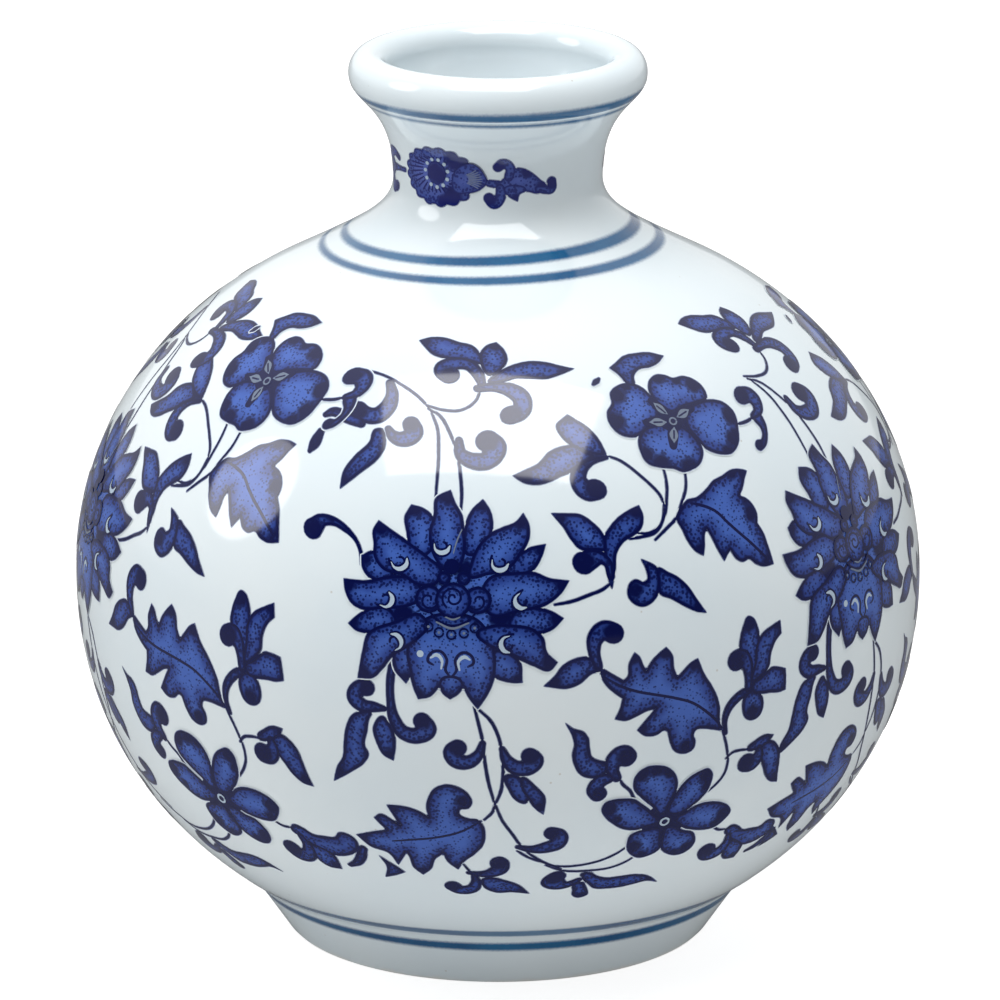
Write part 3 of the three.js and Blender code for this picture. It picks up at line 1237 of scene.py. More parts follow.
class UpperScroll:
    """The stems, curls and sprigs above the lotus."""

    @staticmethod
    def near_stems() -> list[Stroke]:
        """The two stems that rise from the lotus, and the curls and sprig that stand on them.

        Returns:
            The strokes, in painting order.
        """
        return [
            stem(0.28, (-3.5, 33), (-2.5, 30.5), (-2.2, 28), (-2.1, 22)),
            stem(0.28, (-3.8, 33.2), (-2.6, 32.5), (-1, 30), (0, 27.5), (0.5, 25), (0.8, 22.5), (0.8, 21)),
            stem(0.28, (-4, 33.6), (-2, 33.1), (0, 33.2), (1.5, 34.5), (1.9, 36.3)),
            brush((0, 29.3, 0.8), (0.4, 27.6, 1.4), (1.8, 26.8, 1.9), (3.6, 27, 2.2), (4.2, 28.4, 2.4),
                  (3.2, 29.3, 2.6)),
            brush((1.6, 36.2, 1), (3.6, 36.4, 1.3), (5.4, 35.9, 1.8), (6.7, 34.6, 2), (6.6, 33, 2.2),
                  (5.6, 32.6, 2.4)),
            leaf((-5.8, 42.8, 2.2), (-4.6, 43.4), (-3, 43.5), (-1.2, 42.9), (0.4, 42.4), (1.3, 41.3),
                 (1.9, 39.9), (-0.5, 40.2), (-2.4, 40.3), (-4, 40.8), (-5, 41.8)),
            leaf((3, 43, 2), (4, 41.8), (4.5, 40.2), (4.2, 39.2), (2.8, 38), (1.5, 39.8), (1.4, 41.4),
                 (2, 42.5)),
            brush((2, 36.8, 0.9), (1.4, 38.2, 1.3), (0.2, 39.5, 1.5), (-1.4, 39.6, 1.9), (-2.5, 38.6, 2.3),
                  (-1.8, 37.9, 2.3)),
            leaf((2.7, 37), (3.6, 38.4), (5, 39.4), (7, 40), (8.8, 39.8), (10.5, 39.2), (12.3, 38.6, 2.6),
                 (10.8, 37.9), (9.2, 37.4), (7.5, 37.5), (5.8, 37.6), (4, 37)),
        ]

    @staticmethod
    def far_stems() -> list[Stroke]:
        """The stem that runs off to the next panel, with its curls and hanging leaf.

        Returns:
            The strokes, in painting order.
        """
        return [
            stem(0.28, (-12.3, 37.7), (-9.5, 37.2), (-7, 36), (-5, 34.6), (-3.5, 33)),
            brush((-8.6, 36.2, 1), (-8.2, 34.6, 1.5), (-8.6, 32.9, 1.9), (-9.9, 31.7, 2),
                  (-11.3, 31.8, 2.1), (-12, 32.2, 2.2)),
            brush((-16.2, 31, 0.6), (-15.2, 31.5, 1.1), (-13.2, 31, 1.4), (-11.6, 30.6, 1.2),
                  head=0.5),
            leaf((-9.2, 30.2), (-8.4, 28), (-9, 26.6), (-11, 24.6), (-13.4, 22.4, 3), (-13.2, 24.3),
                 (-12, 26.4), (-10.3, 28.4), (-9.8, 30)),
            brush((-8.2, 30.2, 0.8), (-7.5, 29.3, 1.4), (-6.2, 29.1, 1.9), (-5.2, 30, 2.1), (-5.6, 31, 2)),
            line(Ink.DARK, (-17.7, 26.3, 0.5), (-17.1, 27.4, 1.3), (-16.5, 28.8, 0.9)),
            brush((-10.2, 14.2, 0.5), (-10.4, 15.4, 0.4), (-11.1, 16.8, 0.4), (-12.4, 17.9, 0.7),
                  (-14, 18.6, 1), (-15.4, 18.5, 1.5), (-16.4, 17.5, 2.4)),
        ]


class UnderScroll:
    """The trefoil at the lotus's side, and the stems, curls and leaves that hang below it."""

    @staticmethod
    def trefoil() -> list[Stroke]:
        """Two curls and two leaves at the lower left of the lotus.

        Returns:
            The strokes, in painting order.
        """
        return [
            leaf((-8.8, -2.8), (-10.9, -3), (-11.9, -4.8), (-12.2, -6.8), (-12.4, -8.6), (-13.1, -9.9),
                 (-13.6, -11.9, 3.6), (-11.2, -10.2), (-9.9, -9.1), (-9.3, -7.8), (-9.7, -6.9), (-9.4, -5),
                 (-9.1, -3.4)),
            leaf((-7.5, -3), (-8.6, -4.2), (-8.3, -6.3), (-7.5, -7.8), (-6.4, -8.4, 2.4), (-6.1, -6.5),
                 (-6.2, -5), (-6.9, -3.6)),
            brush((-7.3, -2.1, 0.6), (-8.6, -2, 1.2), (-10, -1.9, 1.6), (-10.9, -0.9, 1.7),
                  (-10.2, 0.1, 1.8), (-9.4, 0.2, 1.9)),
            brush((-6.3, 3.4, 0.9), (-6.6, 1.6, 0.9), (-6.6, -1, 0.9), (-6.2, -3.2, 1.3), (-5, -4.9, 1.7),
                  (-3.6, -5.1, 1.9), (-2.4, -4.2, 2), (-3, -3.3, 2)),
        ]

    @staticmethod
    def stems() -> list[Stroke]:
        """The stems that part under the lotus and meet again, with their curls and leaf.

        Returns:
            The strokes, in painting order.
        """
        return [
            stem(0.3, (2.9, -1.4), (3.4, -3.5), (3.8, -5.5), (4, -8), (4.4, -11), (5, -13.8)),
            stem(0.3, (3.3, -1.6), (4.7, -3), (5.6, -5), (6, -7.5), (6, -10), (5.7, -12), (5, -13.8)),
            stem(0.28, (5, -13.8), (4.7, -14.8), (3.7, -16)),
            stem(0.28, (5.1, -14), (5.7, -16), (6.8, -18.2), (8, -20.6), (9.8, -22.6), (12, -24.2)),
            brush((3.8, -5.8, 0.7), (3.3, -7.2, 1.2), (2, -8.2, 1.7), (0.7, -7.9, 1.9), (0.4, -6.9, 2),
                  (1, -6.4, 2)),
            brush((6, -6.5, 0.7), (6.6, -8, 1.4), (7.6, -8.9, 1.9), (9, -8.8, 1.9), (9.6, -7.9, 2),
                  (9.1, -7.4, 2)),
            leaf((6.3, -9.8), (6.6, -11.8), (7.6, -13.4), (8.4, -13.7), (8.9, -13), (8.9, -11.4), (7.8, -10)),
            leaf((8, -10.2), (9.8, -11.5), (10.7, -13), (10.6, -14.2), (10.4, -15.3, 2.8), (9.5, -14.4),
                 (8.8, -13.2), (8, -11.5)),
            brush((7.3, -20.2, 0.6), (8.8, -20.6, 1.1), (10.5, -20.4, 1.7), (12, -19.6, 1.8),
                  (12.1, -18.5, 1.8), (11.3, -18.2, 1.9)),
        ]

    @staticmethod
    def acanthus() -> list[Stroke]:
        """The broad cut leaf with its curled head and midrib, and the stray tip beside it.

        Returns:
            The strokes, in painting order.
        """
        return [
            leaf((3, -16), (3.6, -17), (3.7, -18), (3.4, -19.8), (2.4, -21.3), (1, -22.8),
                 (0.3, -24.1, 1.8), (-0.8, -22.8), (-1.2, -21.4, 0), (-2.2, -22.4), (-2.8, -24.2),
                 (-3.8, -25.4, 2.2), (-4.8, -24.2), (-5.2, -22.3), (-5.5, -21.6, 0), (-6.6, -23.9, 1.7),
                 (-7.6, -22), (-9.6, -21.2), (-11.3, -19.5, 2.4), (-9.8, -18.9), (-7.6, -18.2, 0),
                 (-8.4, -17.3), (-9, -16.5, 1.2), (-8.3, -15.9), (-7, -16.5), (-6, -17.3, 0),
                 (-7.4, -14.5, 2.2), (-5.5, -14.5), (-3.8, -15), (-2.6, -15.8, 0), (-2.8, -14.4),
                 (-2.5, -13), (-1.8, -11.8), (-0.5, -11.2), (1, -11.5), (2.1, -12.5), (2.4, -13.5),
                 (1.9, -14.4), (1, -14.6), (0.9, -15.1), (1.8, -15.8), pools=[(1.3, -13.4, 1.3)]),
            stem(0.32, (3.3, -16.2), (1, -17.8), (-2, -18.9), (-5, -19.5), (-7, -19.9), ink=Ink.DARK),
            leaf((-8.8, -22.6, 1.2), (-8, -24.5), (-8.3, -26.5, 1.6), (-7, -25.9), (-5.9, -25.2, 1.4),
                 (-6.8, -24.3), (-7.6, -23.6)),
        ]

    @staticmethod
    def low_sprig() -> list[Stroke]:
        """The sprig nearest the foot.

        Returns:
            The strokes, in painting order.
        """
        return [
            stem(0.28, (1, -23.2), (1.6, -24.4), (2.4, -25.6)),
            leaf((2.9, -25.8), (4.2, -25.5), (5.4, -26), (7, -27), (8.1, -28.9, 2.6), (6.2, -28.5),
                 (4.2, -28.5), (3, -27.4)),
            brush((1.5, -24.7, 0.6), (2.7, -24.9, 1), (4.2, -24.6, 1.6), (5.1, -23.7, 2), (5.1, -22.9, 2.2)),
            brush((2.1, -25.2, 0.7), (2.2, -26.5, 1.2), (1.5, -27.9, 1.6), (0.2, -28.1, 1.7),
                  (-0.5, -27.4, 1.9)),
        ]


class UpperFlower:
    """The four-petalled flower of the upper scroll, with its flame and side sprigs."""

    @staticmethod
    def petals() -> list[Stroke]:
        """The four broad petals, dark toward their rims, over the ground that shows between them.

        Returns:
            The strokes, in painting order.
        """
        return [
            spot(3.5, 30.3, 2.9, Ink.DARK),
            leaf((-0.4, 35.8), (-1.7, 35.7), (-3.1, 34.8), (-3.5, 33.3), (-4.3, 32.4), (-4.6, 30.9),
                 (-3.9, 29.4), (-2.2, 28.8), (-0.5, 29.5), (1.1, 30.6), (2, 31.9), (1.5, 33.9), (0.8, 35.1),
                 pools=[(-3.9, 31, 1.9), (-2.6, 34.4, 1.7), (-1, 35.6, 1.2)]),
            leaf((1.6, 34.5), (2.2, 35.8), (3.4, 36.4), (4.5, 36.1), (5.2, 35.6), (6.6, 35.6), (8, 34.8),
                 (8.8, 33.4), (8.7, 32.2), (7, 31.8), (5, 31.6), (3.2, 31.2), (2.2, 32.2),
                 pools=[(3.4, 36.1, 1.5), (7.6, 34.3, 1.7), (5.6, 35.4, 1.2)]),
            leaf((5.6, 31.3), (7.2, 31.9), (9, 31.9), (10.7, 31.2), (11.7, 29.8), (11.5, 27.6),
                 (10.8, 25.9), (9.5, 25), (7.8, 25.2), (6.2, 26.1), (5.3, 27.6), (4.6, 29.4),
                 pools=[(11.2, 29.5, 1.9), (10.6, 26.6, 1.9), (9, 25.3, 1.2)]),
            leaf((2.9, 29.8), (1, 30), (-0.7, 29.7), (-1.8, 28.6), (-2.1, 27), (-1.7, 25.5), (0.1, 24.7),
                 (1.4, 24.4), (2.3, 23.9), (3.6, 24), (4.8, 24.5), (5.7, 26), (5.3, 27.7), (4.2, 29.2),
                 pools=[(0, 25.2, 1.7), (-1.5, 26.6, 1.4), (3.4, 24.3, 1.7)]),
        ]

    @staticmethod
    def heart() -> list[Stroke]:
        """The ringed heart with its four pointed stamens.

        Returns:
            The strokes, in painting order.
        """
        pale = [
            leaf((1.5, 32.8, 0), (2.3, 32.4), (2.8, 31, 0), (1.8, 31.5)),
            leaf((5.7, 31.2, 0), (4.7, 31.4), (3.7, 30.5, 0), (4.9, 30.3)),
            leaf((2.3, 27.4, 0), (2.1, 28.6), (3, 29.4, 0), (3.1, 28.2)),
            leaf((0.1, 30.4, 0), (1.2, 30.8), (2.3, 30.1, 0), (1.3, 29.7)),
        ]
        for stamen in pale:
            stamen.ink = Ink.PALE
        return [
            spot(2.9, 30.2, 1.5, Ink.DARK),
            stem(1.5, (1.4, 33), (2.6, 31.1), (3.3, 30)),
            stem(1.5, (6, 31.3), (4.5, 30.9), (3.1, 30.2)),
            stem(1.4, (2.1, 27.1), (2.5, 28.4), (3.1, 29.8)),
            stem(1.4, (-0.2, 30.4), (1.3, 30.3), (2.8, 30.1)),
            *pale,
            stem(0.3, (1.8, 32.3), (2.5, 31.3)),
            stem(0.3, (5.2, 31), (4.1, 30.6)),
            stem(0.3, (2.5, 28), (2.8, 28.9)),
            stem(0.3, (0.7, 30.3), (1.7, 30.2)),
            spot(3.1, 30.1, 0.75, Ink.DARK),
            ring(3.1, 30.1, 0.42, 0.2, Ink.PALE),
        ]

    @staticmethod
    def sprigs() -> list[Stroke]:
        """The flame over the flower, and the curl and bud at its right.

        Returns:
            The strokes, in painting order.
        """
        return [
            leaf((-1.9, 38.2, 1.4), (-0.8, 38.9), (0.3, 39.6), (2.3, 39.8), (3.5, 39.7), (5.4, 38.8, 2.2),
                 (4.3, 38), (3, 37.6), (1.5, 37.5), (0.6, 36.8), (0.3, 35.8), (0.2, 35), (-0.7, 35.6),
                 (-1, 36.6), (-1.3, 37.3)),
            stem(0.35, (11.6, 28.2), (13, 28.2), (14.6, 28.6)),
            brush((15, 28.4, 1.6), (15.4, 27.2, 1.1), (15.2, 26, 0.8), (14.5, 25.2, 1), (13.9, 25.1, 1.3),
                  head=0.9),
            brush((14.4, 28.6, 0.8), (15.6, 29.2, 1.4), (15.7, 30.3, 1.8), (15, 31.2, 2), (13.9, 31.4, 2.3)),
            line(Ink.DARK, (-4.7, 36.1, 0.25), (-4.2, 36.5, 0.6), (-3.7, 36.9, 0.25)),
        ]

    def strokes(self) -> list[Stroke]:
        """The flower in painting order."""
        return [*self.sprigs(), *self.petals(), *self.heart()]


class LowerFlower:
    """The six-petalled flower near the foot."""

    @staticmethod
    def petals() -> list[Stroke]:
        """Six petals, each dark at its outer end, over a dark ground.

        Returns:
            The strokes, in painting order.
        """
        return [
            spot(-1.5, -17.7, 2.9, Ink.DARK),
            leaf((-2, -16.9), (-3.5, -15.4), (-5, -14), (-6.2, -12.5), (-6.3, -11.2), (-5.8, -10.3),
                 (-4.9, -9.8), (-3.6, -9.8), (-2.4, -10.2), (-1.5, -11), (-0.9, -12.2), (-0.8, -13.4),
                 (-1.3, -15.2), pools=[(-5.4, -10.7, 1.5), (-3.6, -10.2, 1.5), (-2, -10.8, 1.3)]),
            leaf((-1.4, -16.7), (-1.4, -15.2), (-0.9, -14), (-0.3, -13), (0.6, -12), (1.8, -11.4),
                 (2.9, -11.2), (3.6, -12), (3.6, -13.2), (3.3, -14.3), (2.5, -15.4), (1.5, -16.3),
                 (0.2, -17.1), pools=[(2.9, -11.9, 1.7), (3.2, -13.6, 1.2)]),
            leaf((-0.4, -17.8), (0.8, -17), (1.8, -16.3), (3, -16), (4.5, -16.1), (5.9, -16.6),
                 (6.9, -17.4), (7.3, -18.2), (6.7, -19.3), (5.6, -20.2), (4.3, -20.3), (2.8, -20),
                 (1.5, -19.5), (0.3, -18.6), pools=[(6.4, -18.3, 1.7), (5.4, -19.6, 1.1)]),
            leaf((-1, -18.7), (0.2, -19), (1.4, -19.8), (2.6, -20.3), (3.1, -21), (3.4, -22.4), (3, -23.3),
                 (2, -23.9), (0.9, -23.8), (-0.1, -23.2), (-1, -22.2), (-1.3, -20.6),
                 pools=[(2.6, -22.9, 1.7), (0.9, -23.4, 1.2)]),
            leaf((-1.9, -18.8), (-3.2, -18.7), (-4.6, -18.9), (-5.4, -19.4), (-5.5, -20.5), (-5.2, -21.8),
                 (-4.4, -22.8), (-3.4, -23.4), (-2.2, -23.2), (-1.2, -22.5), (-1.4, -20.4),
                 pools=[(-4.7, -21.4, 1.7), (-3.2, -23, 1.3)]),
            leaf((-2.2, -17.9), (-3.6, -18.4), (-5.2, -18.6), (-6.6, -18.2), (-8, -17.2), (-9, -16.2),
                 (-9.6, -15), (-9.4, -14.2), (-8.4, -13.8), (-7.2, -13.8), (-6, -14), (-4.8, -14.9),
                 (-3.2, -16.4), pools=[(-9, -15, 1.8), (-7.6, -16.7, 1)]),
            spot(-1.5, -17.9, 0.85, Ink.DARK),
            ring(-1.5, -17.9, 0.5, 0.26, Ink.BARE),
        ]


class FlowerScroll:
    """The stems, cut leaves and sprigs between the two flowers."""

    @staticmethod
    def upper_stems() -> list[Stroke]:
        """The three stems under the upper flower, and the winged sprig on the left one.

        Returns:
            The strokes, in painting order.
        """
        return [
            stem(0.28, (-6, 26.8), (-5, 26.3), (-4, 25.4), (-3, 24.2), (-2, 22.9), (-1.2, 21.6),
                 (-0.9, 20.2)),
            stem(0.28, (0.1, 24.8), (0, 23), (-0.5, 21), (-1.2, 19.2), (-2.3, 17.9), (-3.6, 17.4),
                 (-5, 17.6)),
            stem(0.28, (2.7, 24), (2.2, 22), (1.2, 20.3), (0.2, 18.8), (-1.3, 17.7), (-2.9, 16.6)),
            stem(0.28, (-1, 20.4), (-1.6, 18.6), (-2.8, 17.4), (-4.4, 17.1), (-6, 17)),
            leaf((-9, 32.4, 1.6), (-8.2, 31.6), (-7.4, 30.8), (-6.6, 29.3), (-6.1, 26.8, 0), (-8, 27.3),
                 (-9.6, 28.2), (-10.6, 29.6), (-10.8, 30.8)),
            leaf((-17.4, 25, 3.2), (-16, 25.6), (-14.2, 26.4), (-12.5, 27.8), (-10.8, 28.4), (-9.2, 28.4),
                 (-8.4, 27.6), (-6.3, 26.8, 0), (-9, 26.2), (-10.8, 25.2), (-12, 24.8), (-13.5, 24.2),
                 (-15, 23.9), (-16.5, 24.2)),
            brush((-6.3, 26.7, 0.5), (-8.2, 26.3, 0.8), (-9.6, 25.4, 1.4), (-10.2, 24.1, 1.9),
                  (-9.6, 22.9, 2.3), (-8.5, 23, 2.4)),
        ]

    @staticmethod
    def winged_sprig() -> list[Stroke]:
        """Two leaves and a curl on the stem that comes from the lotus.

        Returns:
            The strokes, in painting order.
        """
        return [
            stem(0.3, (-15.6, 10.2), (-13.6, 10.5), (-11.6, 11.1), (-10, 11.6), (-9, 12.2)),
            leaf((-4, 20.7, 2.6), (-5.2, 20.3), (-6.8, 19.5), (-8, 18.5), (-8.9, 17.4), (-9.2, 15.4),
                 (-9.3, 13.2), (-8.9, 11.6, 0), (-8.2, 13.6), (-7.7, 15.6), (-6.6, 16.8), (-5.5, 17.3),
                 (-4.4, 18), (-3.8, 19.4)),
            leaf((-14.2, 20.5, 2.4), (-12.5, 20.4), (-11, 20.2), (-9.8, 19.2), (-9, 18.1), (-8.7, 17),
                 (-8.9, 16), (-10.2, 16), (-11.7, 16.2), (-12.7, 17.5), (-13.2, 18.8), (-13.8, 19.8)),
            brush((-8.8, 13, 0.8), (-9, 14.6, 1.1), (-10.2, 15.3, 1.7), (-11.7, 14.7, 2.5)),
        ]

    @staticmethod
    def upper_leaf() -> list[Stroke]:
        """The broad cut leaf under the upper flower.

        Returns:
            The strokes, in painting order.
        """
        return [
            leaf((10.9, 22.6, 2.2), (10.2, 22.9), (8.8, 23.1), (7.2, 22.6), (6, 22.3), (4.8, 21.5),
                 (3.2, 20.7), (2, 20.6), (1, 19.8), (0.2, 18.8), (0.6, 17.3), (1, 16), (1.8, 14.7),
                 (2.7, 14.1, 2.2), (3, 15), (3.4, 16.6), (3.7, 17, 0), (4.1, 16), (4.6, 14.6),
                 (5.3, 13.1, 1.9), (5.9, 13.8), (6.3, 14.2, 0), (7, 13), (7.9, 12.6), (8.6, 12.8),
                 (9.5, 12.1), (10.6, 11.6), (12.1, 11.6, 2.4), (11.9, 12.7), (11.6, 14), (11.3, 15.3),
                 (10.7, 16.5, 0), (10.9, 17.5), (10.6, 18.6), (9.9, 19.5), (9, 20, 0), (9.7, 20.8),
                 (10.3, 21.8), pools=[(10.2, 17.8, 1.5), (9.6, 19.3, 0.8), (8.6, 22.7, 1.2)]),
            stem(0.36, (2.3, 20.2), (3.5, 19.8), (5.3, 18.8), (6.6, 17.3), (7.8, 16), (9, 14.8),
                 (10.3, 13.4), (11.6, 12), ink=Ink.DARK),
        ]

    @staticmethod
    def small_sprigs() -> list[Stroke]:
        """The hooked sprig under the leaf stems, and the curl over the middle leaf.

        Returns:
            The strokes, in painting order.
        """
        return [
            leaf((-5, 14.6, 1.2), (-4.2, 14.2), (-3.2, 13.4), (-3.1, 12), (-3.5, 10.6), (-4.5, 9.6),
                 (-5.5, 9.3), (-6.5, 9.7), (-7.1, 10.5), (-7.1, 11.4), (-6.7, 12.1), (-6, 12.4),
                 (-5.2, 12, 0), (-4.7, 12.2), (-4.6, 13.3), pools=[(-6.2, 11.2, 1.3)]),
            leaf((2.2, 7.7, 3), (1, 8), (-0.5, 8.8), (-2, 9.8), (-3.4, 10.6), (-3.4, 12), (-3.2, 13.4),
                 (-2, 12.8), (-0.9, 12.1), (0.3, 10.8), (1.1, 9.4)),
            brush((-11.2, 2.9, 1), (-11.6, 4.8, 1.4), (-11.3, 6.3, 1.9), (-10.2, 7, 2.2), (-9.2, 6.6, 2.3)),
        ]

    @staticmethod
    def middle_leaf() -> list[Stroke]:
        """The middle cut leaf with its midrib, its left wing and the stem under it.

        Returns:
            The strokes, in painting order.
        """
        return [
            leaf((-17.4, 1, 3), (-16.3, 2), (-15.2, 3.3), (-13.8, 4), (-12.3, 4.1), (-11.3, 3.5),
                 (-10.7, 2.6), (-11.9, 2.2), (-13.5, 1), (-15, 0.6), (-16.3, 0.8)),
            stem(0.26, (4.1, -6), (4.7, -7.6), (5.2, -9.2), (5.5, -11), (5.2, -12.5), (4.4, -13.6),
                 (3.4, -14.5)),
            leaf((4.3, -6.6, 0), (3.8, -5), (3.7, -3.5), (3.2, -2), (2.5, -0.7), (1.7, 0.5),
                 (0.8, 2.6, 2.2), (0, 2.3), (-1, 1.5), (-1.8, 0.8, 0), (-2.2, 1.8), (-2.4, 3.5),
                 (-3.1, 4.4, 2), (-4, 3.8), (-5, 2.9), (-5.6, 2, 0), (-6, 2.8), (-6.3, 3.6),
                 (-6.9, 4.2, 1.9), (-7.6, 3), (-7.9, 1.4), (-8.3, 1.1, 0), (-9.5, 1.9), (-11, 2.9, 1.6),
                 (-10.9, 1.8), (-10.3, 0.7), (-9.3, -0.3), (-8.4, -1, 0), (-8.6, -2), (-9.2, -3.4, 1.9),
                 (-8, -3.7), (-6.7, -3.3), (-5.5, -2.8), (-4.4, -2.6, 0), (-5.4, -3.7), (-6.5, -5, 1.9),
                 (-5.5, -5.8), (-4, -5.8), (-3.2, -5.4), (-2.8, -5.6, 0), (-2.4, -7), (-1.6, -8.3),
                 (-0.5, -8.7), (0.6, -8.3), (0.8, -7.3), (0.5, -6.5), (0.8, -5.9), (1.8, -5.9), (3, -6.2),
                 pools=[(-0.5, -7.8, 1.3)]),
            stem(0.34, (-10.7, 1.8), (-8.5, 0.4), (-6.5, -0.4), (-4.3, -1), (-2.2, -1.6), (0.3, -2.6),
                 (1.8, -3.7), (3.4, -5.2), (4.2, -6.3), ink=Ink.DARK),
        ]

    @staticmethod
    def left_sprig() -> list[Stroke]:
        """The long leaf and two curls at the lower flower's upper left.

        Returns:
            The strokes, in painting order.
        """
        return [
            stem(0.28, (-8.2, -10.8), (-7.6, -11.8), (-6.6, -12.8), (-6, -13.9), (-5.5, -15)),
            brush((-9.2, -10.8, 1.2), (-10.4, -11.2, 1.8), (-10.8, -12.2, 1.9), (-10.3, -12.9, 1.9)),
            brush((-8.4, -10.9, 1), (-9.1, -9.6, 1.6), (-8.9, -8.4, 2.1), (-7.9, -7.9, 2.3),
                  (-7.5, -8.3, 2.3)),
            leaf((-14.9, -3.5, 2.8), (-14, -4.2), (-12.8, -4.7), (-12.2, -5.5), (-12, -6.7), (-11.6, -7.9),
                 (-10.7, -8.4), (-9.9, -8.7), (-9.6, -9.6), (-10.3, -10.5), (-11.6, -10.6), (-12.8, -10),
                 (-13.5, -8.9), (-13.9, -7.6), (-13.8, -6), (-14.1, -5)),
        ]

    @staticmethod
    def right_sprigs() -> list[Stroke]:
        """The fan-shaped sprig and the hanging sprig at the right of the middle stem.

        Returns:
            The strokes, in painting order.
        """
        return [
            brush((7.6, -2.2, 1.1), (6, -2.9, 1.1), (4.9, -4, 1), (4.5, -5.4, 0.7), (4.8, -7, 0.4), head=0),
            leaf((7, -3), (6.9, -4.6), (7.3, -5.5), (8.3, -6), (9.3, -5.7), (9.8, -4.7), (9.7, -3.6),
                 (8.4, -2.2), pools=[(8.3, -5, 1.4)]),
            leaf((8, -1.4), (9.2, -1), (10, -0.5), (10.9, -0.1), (12, -0.3), (13, -0.7, 1.2), (13.1, -2),
                 (13.1, -3.2, 1.2), (12.1, -3.3), (10.8, -3.1), (9.6, -3), (8.2, -2.6)),
            leaf((7.7, 6.4), (7, 5.5), (6.5, 4.2), (6.3, 3), (7.2, 1.4), (8.2, -0.4), (9, 1.8), (9.2, 3.6),
                 (8.9, 5.2), (8.4, 6.1), pools=[(7.7, 5.7, 1.7)]),
            leaf((12.3, 5.1, 1.9), (11, 4.7), (9.6, 4.1), (8.8, 3.2), (8.4, 1), (8.2, -1.4), (9.4, -0.9),
                 (10.5, 0.1), (10.8, 1.6), (11.6, 3), (12.4, 3.6, 1)),
            brush((7.6, -2, 1), (7.6, -0.4, 1.2), (7.3, 1, 1.7), (6.5, 1.8, 2.2), (5.9, 1.6, 2.4)),
            stem(0.26, (5.2, -10.3), (6, -9.7), (7, -9.6), (8, -9.7)),
            leaf((8, -9.6), (9.2, -8.7), (10.5, -8.3), (11.8, -8.6, 1.4), (11.2, -9.4), (9.8, -10)),
            leaf((10.2, -9.6), (11.3, -9.2), (12.5, -10), (13.1, -11), (13.3, -12.5), (13.4, -14),
                 (13.6, -15.4, 2.8), (12.4, -15), (11.4, -13.9), (10.8, -12.6), (10.2, -11.4)),
            brush((9.8, -9.9, 1), (9.8, -11, 1.6), (8.9, -11.7, 2.2), (8.2, -11.5, 2.4)),
        ]

    @staticmethod
    def low_stems() -> list[Stroke]:
        """The two long stems under the lower flower, and the sprig that hangs from them.

        Returns:
            The strokes, in painting order.
        """
        return [
            stem(0.28, (-18.2, -20.8), (-16.9, -21.8), (-15, -22.8), (-13, -23.7), (-10.5, -23.8),
                 (-8, -23.2), (-6.2, -22.1), (-5.3, -21.2)),
            stem(0.28, (-14.4, -23.4), (-12, -24.6), (-9, -24.9), (-6.5, -24.7), (-4.7, -23.8), (-3.9, -23)),
            leaf((-9.7, -25.2), (-8.8, -25.2), (-7.8, -26), (-6.5, -26.6), (-4.8, -26.6), (-3, -26.6),
                 (-1.6, -27), (-0.5, -27.8), (0.5, -28.9, 2.4), (-1, -28.3), (-2.5, -28.6), (-4, -28.9),
                 (-5.7, -28.9), (-7.3, -28.6), (-8.3, -27.6), (-9.3, -26.5)),
            leaf((-10.2, -27.2), (-9.9, -28.5), (-9.5, -29.8), (-8.6, -30.4), (-7.8, -30), (-8, -29),
                 (-8.5, -28), (-9.2, -27), pools=[(-8.6, -29.8, 1)]),
            brush((-9.8, -26.6, 0.9), (-10.9, -27.4, 1.3), (-12.3, -27.2, 1.9), (-13, -26.3, 2.2),
                  (-12.6, -25.8, 2.3)),
        ]

    @staticmethod
    def corner_sprig() -> list[Stroke]:
        """The sprig at the lower right of the lower flower, and the half leaf that it holds.

        Returns:
            The strokes, in painting order.
        """
        return [
            stem(0.28, (5.2, -20), (6.4, -20.9), (7.6, -21.1)),
            line(Ink.WASH, (12.3, -26.5, 0.5), (13.6, -26, 0.9), (14.8, -25, 1.1), (15.8, -23.8, 0.9)),
            leaf((7.4, -21.2), (8.2, -20.6), (9.2, -21), (10.2, -21.9), (11.5, -22.1), (13, -22.2),
                 (14, -21.5), (15.5, -22.3), (15.2, -23.8), (14, -24.6), (12.5, -25), (11, -24.9),
                 (9.4, -23.8), (8.2, -22.6)),
            leaf((8.3, -24.6), (8.4, -25.9), (9, -26.8), (10.7, -27.2, 1.8), (11.1, -26), (11.2, -25),
                 (10.2, -23.8), (9, -23.4)),
            brush((8.2, -22.2, 0.8), (8.3, -23.8, 1.4), (7.4, -25.1, 1.9), (6.1, -25.1, 2.2),
                  (5.7, -24.3, 2.4)),
        ]


